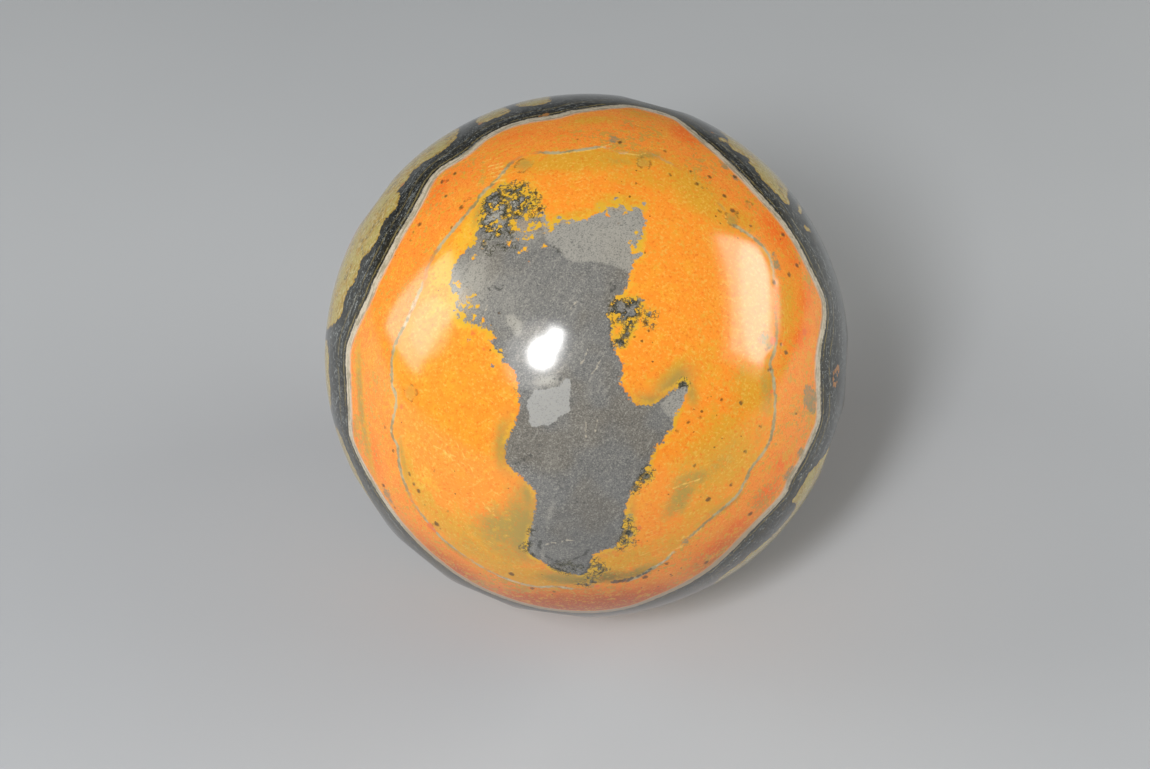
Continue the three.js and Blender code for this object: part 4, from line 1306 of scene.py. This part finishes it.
        hairline = g.mix(outside, self.rind, self.pale_yellow)
        speckled = g.total(0.65, g.times(g.step(n.fine, 0.4, 0.6), 0.35))
        ringed = g.total(reads[Reading.RINGED_SPOT], g.wobble(n.edge, 1.0), g.wobble(n.fine, 0.6))
        broken = g.times(g.band(ringed, 0.15, 0.1, 0.3), g.step(n.edge, 0.48, 0.58))
        rust = g.mix(g.step(reads[Reading.RIND], -0.6, 0.6), self.brown_rust, self.rust)
        colour = g.washed(
            colour,
            Wash(frayed(Reading.CRACK, 1.1), -0.16, 0.16, 0.8, self.crack),
            Wash(frayed(Reading.SCRATCH, 0.3), -0.12, 0.08, 0.6, hairline),
            Wash(frayed(Reading.GREY_SPOT, 1.4), -0.3, 0.4, g.times(speckled, 0.85), self.grey_spot),
            Wash(ringed, -0.2, 0.9, 0.45, self.olive),
        )
        colour = g.mix(g.times(broken, 0.45), colour, self.spot)
        colour = g.washed(colour, Wash(frayed(Reading.RUST_SPOT, 0.8), -0.15, 0.2, 0.85, rust))
        dark = g.step(frayed(Reading.DARK_SPOT, 0.6), -0.1, 0.25)
        colour = g.mix(g.times(dark, 0.85), colour, self.spot)
        return colour, g.sum(Sum.MOST, crust, dark)

    def relief(self, g: StoneGraph, n: Noises, dark: Socket) -> None:
        """Raise the grain that the polish has left, and sink the dark marks a little."""
        height = g.total(g.times(n.fine, 0.5), g.times(n.grain, 0.35), g.times(dark, -1.2))
        bump = g.tree.nodes.new("ShaderNodeBump")
        bump.inputs["Strength"].default_value = self.relief_strength
        bump.inputs["Distance"].default_value = self.relief_depth * METRES
        g.join(height, bump.inputs["Height"])
        g.join(bump.outputs["Normal"], g.shader.inputs["Normal"])


@dataclass(frozen=True)
class FloorFinish:
    """A plain pale matt floor."""

    colour: Colour = srgb(186, 189, 193)
    darkening: float = 0.94
    cloud_size: float = 60.0
    roughness: float = 0.6

    def build(self) -> bpy.types.Material:
        """Make the floor's material, with a faint unevenness."""
        g = StoneGraph("pale_floor")
        darker = tuple(level * self.darkening for level in self.colour[:3]) + (1.0,)
        g.join(g.mix(g.noise(self.cloud_size, 3), self.colour, darker), g.shader.inputs["Base Color"])
        g.shader.inputs["Roughness"].default_value = self.roughness
        return g.material


@dataclass
class JasperBall:
    """The ball: its sizes in millimetres, its mesh, and the pattern that the mesh keeps."""

    diameter: float = 80.0
    resting_width: float = 12.0
    face_elevation: float = math.radians(45)
    face_edge_forward: float = 1 / 8
    lapped_flats: tuple[tuple[float, float], ...] = (
        (75, 0.33), (144, 0.25), (214, 0.25), (231, 0.28), (247, 0.27), (262, 0.32), (341, 0.36),
        (357, 0.26),
    )
    flat_edge_softness: float = 0.02
    least_facing: float = 0.8
    coarse_level: int = 7
    fine_face: float = math.radians(75)
    lump_height: float = 0.03
    lump_width: float = 14.0
    lump_spread: tuple[float, float] = (0.7, 1.6)
    lump_waves: int = 24
    vein_groove: float = 0.012
    vein_groove_width: float = 0.9
    rind_groove: float = 0.012
    rind_groove_width: float = 1.0
    spot_pit: float = 0.02
    pit_edge: float = 0.3
    crust_pit_edge: float = 0.1
    crust_margin: float = 0.25
    heart_reach: float = 6
    vein_reach: float = 40
    rind_reach: float = 90
    shape_reach: float = 4
    spot_reach: float = 6
    stroke_reach: float = 2
    stain_falloff: float = 0.8
    layers_flatten_from: float = 0.1
    layers_flat_at: float = -0.9
    seed: int = 5
    chart: FaceChart = field(init=False)
    radius: float = field(init=False)
    middle: Vector = field(init=False)
    resting_distance: float = field(init=False)

    def __post_init__(self) -> None:
        """Lay out the chart and find the ball's middle."""
        self.radius = self.diameter / 2
        self.chart = FaceChart(self.radius, self.face_elevation)
        lowest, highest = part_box(NODE)
        self.middle = Vector((
            (lowest.x + highest.x) / 2, (lowest.y + highest.y) / 2, highest.z - self.radius * METRES,
        ))
        self.resting_distance = math.sqrt(self.radius ** 2 - (self.resting_width / 2) ** 2)

    def make(self) -> bpy.types.Object:
        """Build the ball, shape it, keep its pattern and dress it."""
        mesh = self.shell()
        directions = self.corners(mesh)
        readings = self.pattern(directions)
        heights = self.heights(directions, readings)
        corners = directions * heights[:, None] * METRES + np.array(self.middle)
        mesh.vertices.foreach_set("co", corners.astype(np.float32).ravel())
        for kind, values in readings.items():
            layer = mesh.attributes.new(kind.value, "FLOAT", "POINT")
            layer.data.foreach_set("value", values.astype(np.float32))
        mesh.update()
        mesh.shade_smooth()
        mesh.materials.append(JasperFinish().build())
        piece = bpy.data.objects.new("jasper_ball", mesh)
        bpy.context.scene.collection.objects.link(piece)
        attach(piece, BODY)
        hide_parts(NODE)
        return piece

    def shell(self) -> bpy.types.Mesh:
        """Divide a ball of unit size, finer over the face and finest at its smallest marks."""
        grid = bmesh.new()
        bmesh.ops.create_icosphere(grid, subdivisions=self.coarse_level, radius=1.0)
        out = np.array(self.chart.out)
        self.divide(grid, lambda places: places @ out > math.cos(self.fine_face))
        self.divide(grid, self.near_crust)
        mesh = bpy.data.meshes.new("jasper_ball")
        grid.to_mesh(mesh)
        grid.free()
        return mesh

    def near_crust(self, directions: Field) -> Field:
        """Say which directions are at or close to the black crusts."""
        x, y, _ = self.chart.read(directions)
        return self.stroked(STROKES[Reading.CRUST], x, y) > -self.crust_margin

    @staticmethod
    def divide(grid: bmesh.types.BMesh, wanted: Callable[[Field], Field]) -> None:
        """Halve the edges whose two ends are wanted, and keep the ball round and in triangles."""
        chosen = wanted(np.array([tuple(corner.co) for corner in grid.verts]))
        grid.verts.index_update()
        edges = [edge for edge in grid.edges if all(chosen[corner.index] for corner in edge.verts)]
        bmesh.ops.subdivide_edges(grid, edges=edges, cuts=1, use_grid_fill=True)
        bmesh.ops.triangulate(grid, faces=[face for face in grid.faces if len(face.verts) > 3])
        for corner in grid.verts:
            corner.co.normalize()

    @staticmethod
    def corners(mesh: bpy.types.Mesh) -> Field:
        """Read the mesh's points, one a row."""
        places = np.empty(len(mesh.vertices) * 3, np.float32)
        mesh.vertices.foreach_get("co", places)
        return places.reshape(-1, 3).astype(float)

    def lumps(self, directions: Field) -> Field:
        """Make the gentle unevenness in the round that hand polishing leaves.

        Args:
            directions: Unit directions from the ball's middle.

        Returns:
            The unevenness, mostly between -1 and 1.
        """
        chance = np.random.default_rng(self.seed)
        ways = chance.normal(size=(self.lump_waves, 3))
        ways /= np.linalg.norm(ways, axis=1, keepdims=True)
        widths = self.lump_width * chance.uniform(*self.lump_spread, self.lump_waves)
        pace = 2 * math.pi * self.radius / widths
        starts = chance.uniform(0, 2 * math.pi, self.lump_waves)
        swells = np.sin(directions @ ways.T * pace + starts)
        return swells.sum(1) / math.sqrt(self.lump_waves)

    def pattern(self, directions: Field) -> dict[Reading, Field]:
        """Read the pattern at every point of the mesh.

        Args:
            directions: Unit directions from the ball's middle.

        Returns:
            For each kind of reading, its values. Distances are in millimetres, and inside is positive.
        """
        x, y, height = self.chart.read(directions)
        rind = Outline(RIND)
        heart = np.maximum(Outline(HEART).inside(x, y, self.heart_reach), self.spotted(ISLANDS, x, y))
        readings = {
            Reading.HEART: np.minimum(heart, -self.spotted(CRUMBS, x, y)),
            Reading.VEIN: Outline(VEIN).inside(x, y, self.vein_reach),
            Reading.RIND: rind.inside(x, y, self.rind_reach),
            Reading.LOBE: self.nearest(LOBES, x, y),
            Reading.CRYSTAL: self.nearest(CRYSTALS, x, y),
            Reading.NODULE: self.nearest(NODULES, x, y),
            Reading.DEPTH: self.depth(x, y, height, rind),
        }
        for kind, stains in STAINS.items():
            readings[kind] = self.stained(stains, x, y)
        for kind, strokes in STROKES.items():
            readings[kind] = self.stroked(strokes, x, y)
        for kind, spots in SPOTS.items():
            readings[kind] = self.spotted(spots, x, y)
        return readings

    def nearest(self, outlines: dict[str, tuple[Place, ...]], x: Field, y: Field) -> Field:
        """Measure how far places lie inside any of some outlines."""
        return np.max([Outline(places).inside(x, y, self.shape_reach) for places in outlines.values()], 0)

    def spotted(self, spots: Iterable[tuple[float, float, float]], x: Field, y: Field) -> Field:
        """Measure how far places lie inside any of some round spots."""
        deepest = np.max([radius - np.hypot(x - sx, y - sy) for sx, sy, radius in spots], 0)
        return np.maximum(deepest, -self.spot_reach)

    def stroked(self, strokes: Iterable[StrokeRow], x: Field, y: Field) -> Field:
        """Measure how far places lie inside any of some strokes."""
        drawn = [Stroke(half, tuple(places)) for half, *places in strokes]
        return np.max([stroke.inside(x, y, self.stroke_reach) for stroke in drawn], 0)

    def stained(self, stains: Iterable[tuple[float, ...]], x: Field, y: Field) -> Field:
        """Weigh how strongly places are stained, from 0 up to the strongest stain's strength."""
        weight = np.zeros(x.shape)
        for sx, sy, length, width, turn, strength in stains:
            cos, sin = math.cos(math.radians(turn)), math.sin(math.radians(turn))
            along = ((x - sx) * cos + (y - sy) * sin) / length
            across = ((y - sy) * cos - (x - sx) * sin) / width
            faded = np.exp(-(along ** 2 + across ** 2) * self.stain_falloff)
            weight = np.maximum(weight, strength * faded)
        return weight

    def depth(self, x: Field, y: Field, height: Field, rind: Outline) -> Field:
        """Measure how deep behind the white rind places lie.

        The layers follow the rind near it, and lie flatter towards the back.

        Args:
            x: Their X on the chart.
            y: Their Y on the chart.
            height: Their heights towards the face's front.
            rind: The white rind's line.

        Returns:
            The depths in millimetres.
        """
        rind_height = self.radius * np.cos(rind.reach_at(np.arctan2(y, x)) / self.radius)
        level = float(np.mean(rind_height))
        flat, bent = self.layers_flat_at * self.radius, self.layers_flatten_from * self.radius
        follow = smooth_step(height, flat, bent)
        return level + (rind_height - level) * follow - height

    def heights(self, directions: Field, readings: dict[Reading, Field]) -> Field:
        """Find how far the ball's surface is from its middle.

        Args:
            directions: Unit directions from the ball's middle.
            readings: The pattern, because the polish has sunk the vein, the rind and the spots.

        Returns:
            The distances in millimetres.
        """
        choices = [np.full(len(directions), self.radius)]
        for angle, depth in self.lapped_flats:
            facing = directions @ np.array(self.chart.lean(angle, self.face_edge_forward))
            plane = (self.radius - depth) / np.maximum(facing, self.least_facing)
            choices.append(np.where(facing > self.least_facing, plane, self.diameter))
        stack = -np.array(choices) / self.flat_edge_softness
        most = stack.max(0)
        surface = -self.flat_edge_softness * (most + np.log(np.exp(stack - most).sum(0)))
        surface += self.lump_height * self.lumps(directions)
        surface -= self.vein_groove * np.exp(-(readings[Reading.VEIN] / self.vein_groove_width) ** 2)
        surface -= self.rind_groove * np.exp(-(readings[Reading.RIND] / self.rind_groove_width) ** 2)
        pits = np.maximum(readings[Reading.DARK_SPOT], readings[Reading.RINGED_SPOT])
        surface -= self.spot_pit * smooth_step(pits, -self.pit_edge, self.pit_edge)
        surface -= self.spot_pit * smooth_step(readings[Reading.CRUST], -self.pit_edge, self.crust_pit_edge)
        down = np.maximum(-directions[:, 2], TINY)
        return np.minimum(surface, self.resting_distance / down)


@dataclass(frozen=True)
class SoftLight:
    """A plain soft light box, stood where its reflection shows at a place of the face.

    The place is in the chart's millimetres, the distance from the ball's middle and the size in metres.
    """

    name: str
    shows_at: Place
    distance: float
    width: float
    height: float
    turn: float
    radiance: float
    colour: tuple[float, float, float] = WHITE
    shape: LampShape = LampShape.RECTANGLE

    def towards(self, chart: FaceChart, camera_distance: float) -> Vector:
        """Find the direction in which a ray from the camera leaves the ball at that place."""
        outward = chart.direction(*self.shows_at)
        to_camera = (chart.out * camera_distance - outward * chart.radius).normalized()
        return (outward * (2 * outward.dot(to_camera)) - to_camera).normalized()

    def place(self, chart: FaceChart, middle: Vector, camera_distance: float) -> bpy.types.Object:
        """Stand the light in the scene, facing the ball's middle."""
        back = self.towards(chart, camera_distance)
        across = chart.up.cross(back).normalized()
        across = Matrix.Rotation(math.radians(self.turn), 3, back) @ across
        upward = back.cross(across)
        lamp = bpy.data.lights.new(self.name, "AREA")
        lamp.shape = self.shape.value
        lamp.color = self.colour
        lamp.size = self.width
        lamp.size_y = self.height
        lamp.energy = math.pi * self.width * self.height * self.radiance
        stand = bpy.data.objects.new(self.name, lamp)
        stand.matrix_world = Matrix.Translation(middle + back * self.distance) @ Matrix(
            (across, upward, back)
        ).transposed().to_4x4()
        bpy.context.scene.collection.objects.link(stand)
        return stand


@dataclass(frozen=True)
class Studio:
    """The floor, the lights and the camera."""

    chart: FaceChart
    middle: Vector
    picture_width: int = 1150
    picture_height: int = 769
    ball_in_picture: tuple[float, float] = (586.7, 355.5)
    ball_radius_in_picture: float = 261.8
    camera_distance_in_radii: float = 8.0
    sensor_width: float = 36.0
    nearest_seen: float = 0.01
    floor_size: float = 6.0
    room_colour: Colour = srgb(236, 240, 246)
    room_light: float = 0.12
    lights: tuple[SoftLight, ...] = (
        SoftLight("key light", (-5.8, 0.2), 0.60, 0.104, 0.128, -10, 39.0, WHITE, LampShape.ELLIPSE),
        SoftLight("key light's corner", (-4.2, 2.2), 0.61, 0.060, 0.082, -20, 39.0),
        SoftLight("key halo", (-6.8, 0.0), 0.58, 0.24, 0.30, -22, 2.2, WHITE, LampShape.ELLIPSE),
        SoftLight("right light", (23.9, 8.2), 0.62, 0.215, 0.46, -20, 3.4, WARM),
        SoftLight("right light's edge", (23.2, 7.4), 0.63, 0.27, 0.54, -20, 1.0, WARM),
        SoftLight("right light's core", (25.4, 7.6), 0.60, 0.20, 0.42, -20, 2.8, WARM, LampShape.ELLIPSE),
        SoftLight("left light", (-23.4, 6.5), 0.62, 0.27, 0.40, -38, 4.0, WARM),
        SoftLight("left light's core", (-22.0, 4.0), 0.60, 0.20, 0.22, -38, 1.6, WARM, LampShape.ELLIPSE),
    )

    def build(self) -> None:
        """Set out the whole studio."""
        self.place_camera()
        self.lay_floor()
        self.light_room()
        for light in self.lights:
            light.place(self.chart, self.middle, self.camera_distance_in_radii * self.chart.radius)

    def place_camera(self) -> None:
        """Look at the middle of the patterned face, with the ball where the picture has it."""
        radius = self.chart.radius
        distance = self.camera_distance_in_radii * radius
        focal = self.ball_radius_in_picture * math.sqrt(distance ** 2 - radius ** 2) / radius
        lens = bpy.data.cameras.new("camera")
        lens.sensor_width = self.sensor_width
        lens.lens = focal / self.picture_width * self.sensor_width
        lens.shift_x = (self.picture_width / 2 - self.ball_in_picture[0]) / self.picture_width
        lens.shift_y = (self.ball_in_picture[1] - self.picture_height / 2) / self.picture_width
        lens.clip_start = self.nearest_seen
        camera = bpy.data.objects.new("camera", lens)
        turn = Matrix((self.chart.right, self.chart.up, self.chart.out)).transposed().to_4x4()
        camera.matrix_world = Matrix.Translation(self.middle + self.chart.out * distance * METRES) @ turn
        bpy.context.scene.collection.objects.link(camera)
        bpy.context.scene.camera = camera

    def lay_floor(self) -> None:
        """Lay the floor that the ball rests on."""
        half = self.floor_size / 2
        mesh = bpy.data.meshes.new("floor")
        corners = [(-half, -half, 0), (half, -half, 0), (half, half, 0), (-half, half, 0)]
        mesh.from_pydata(corners, [], [(0, 1, 2, 3)])
        mesh.materials.append(FloorFinish().build())
        floor = bpy.data.objects.new("floor", mesh)
        bpy.context.scene.collection.objects.link(floor)

    def light_room(self) -> None:
        """Fill the room with a soft even light, and show colours as they are."""
        world = bpy.data.worlds.new("room")
        world.use_nodes = True
        sky = world.node_tree.nodes["Background"]
        sky.inputs["Color"].default_value = self.room_colour
        sky.inputs["Strength"].default_value = self.room_light
        bpy.context.scene.world = world
        bpy.context.scene.view_settings.view_transform = "Standard"


def main() -> None:
    """Build the ball and the studio, and report what was made."""
    logging.basicConfig(level=logging.INFO, format="%(message)s")
    ball = JasperBall()
    piece = ball.make()
    log.info("%s: %d triangles", piece.name, len(piece.data.polygons))
    studio = Studio(ball.chart, ball.middle)
    studio.build()
    log.info("studio: %d lights", len(studio.lights))


if __name__ == "__main__":
    main()
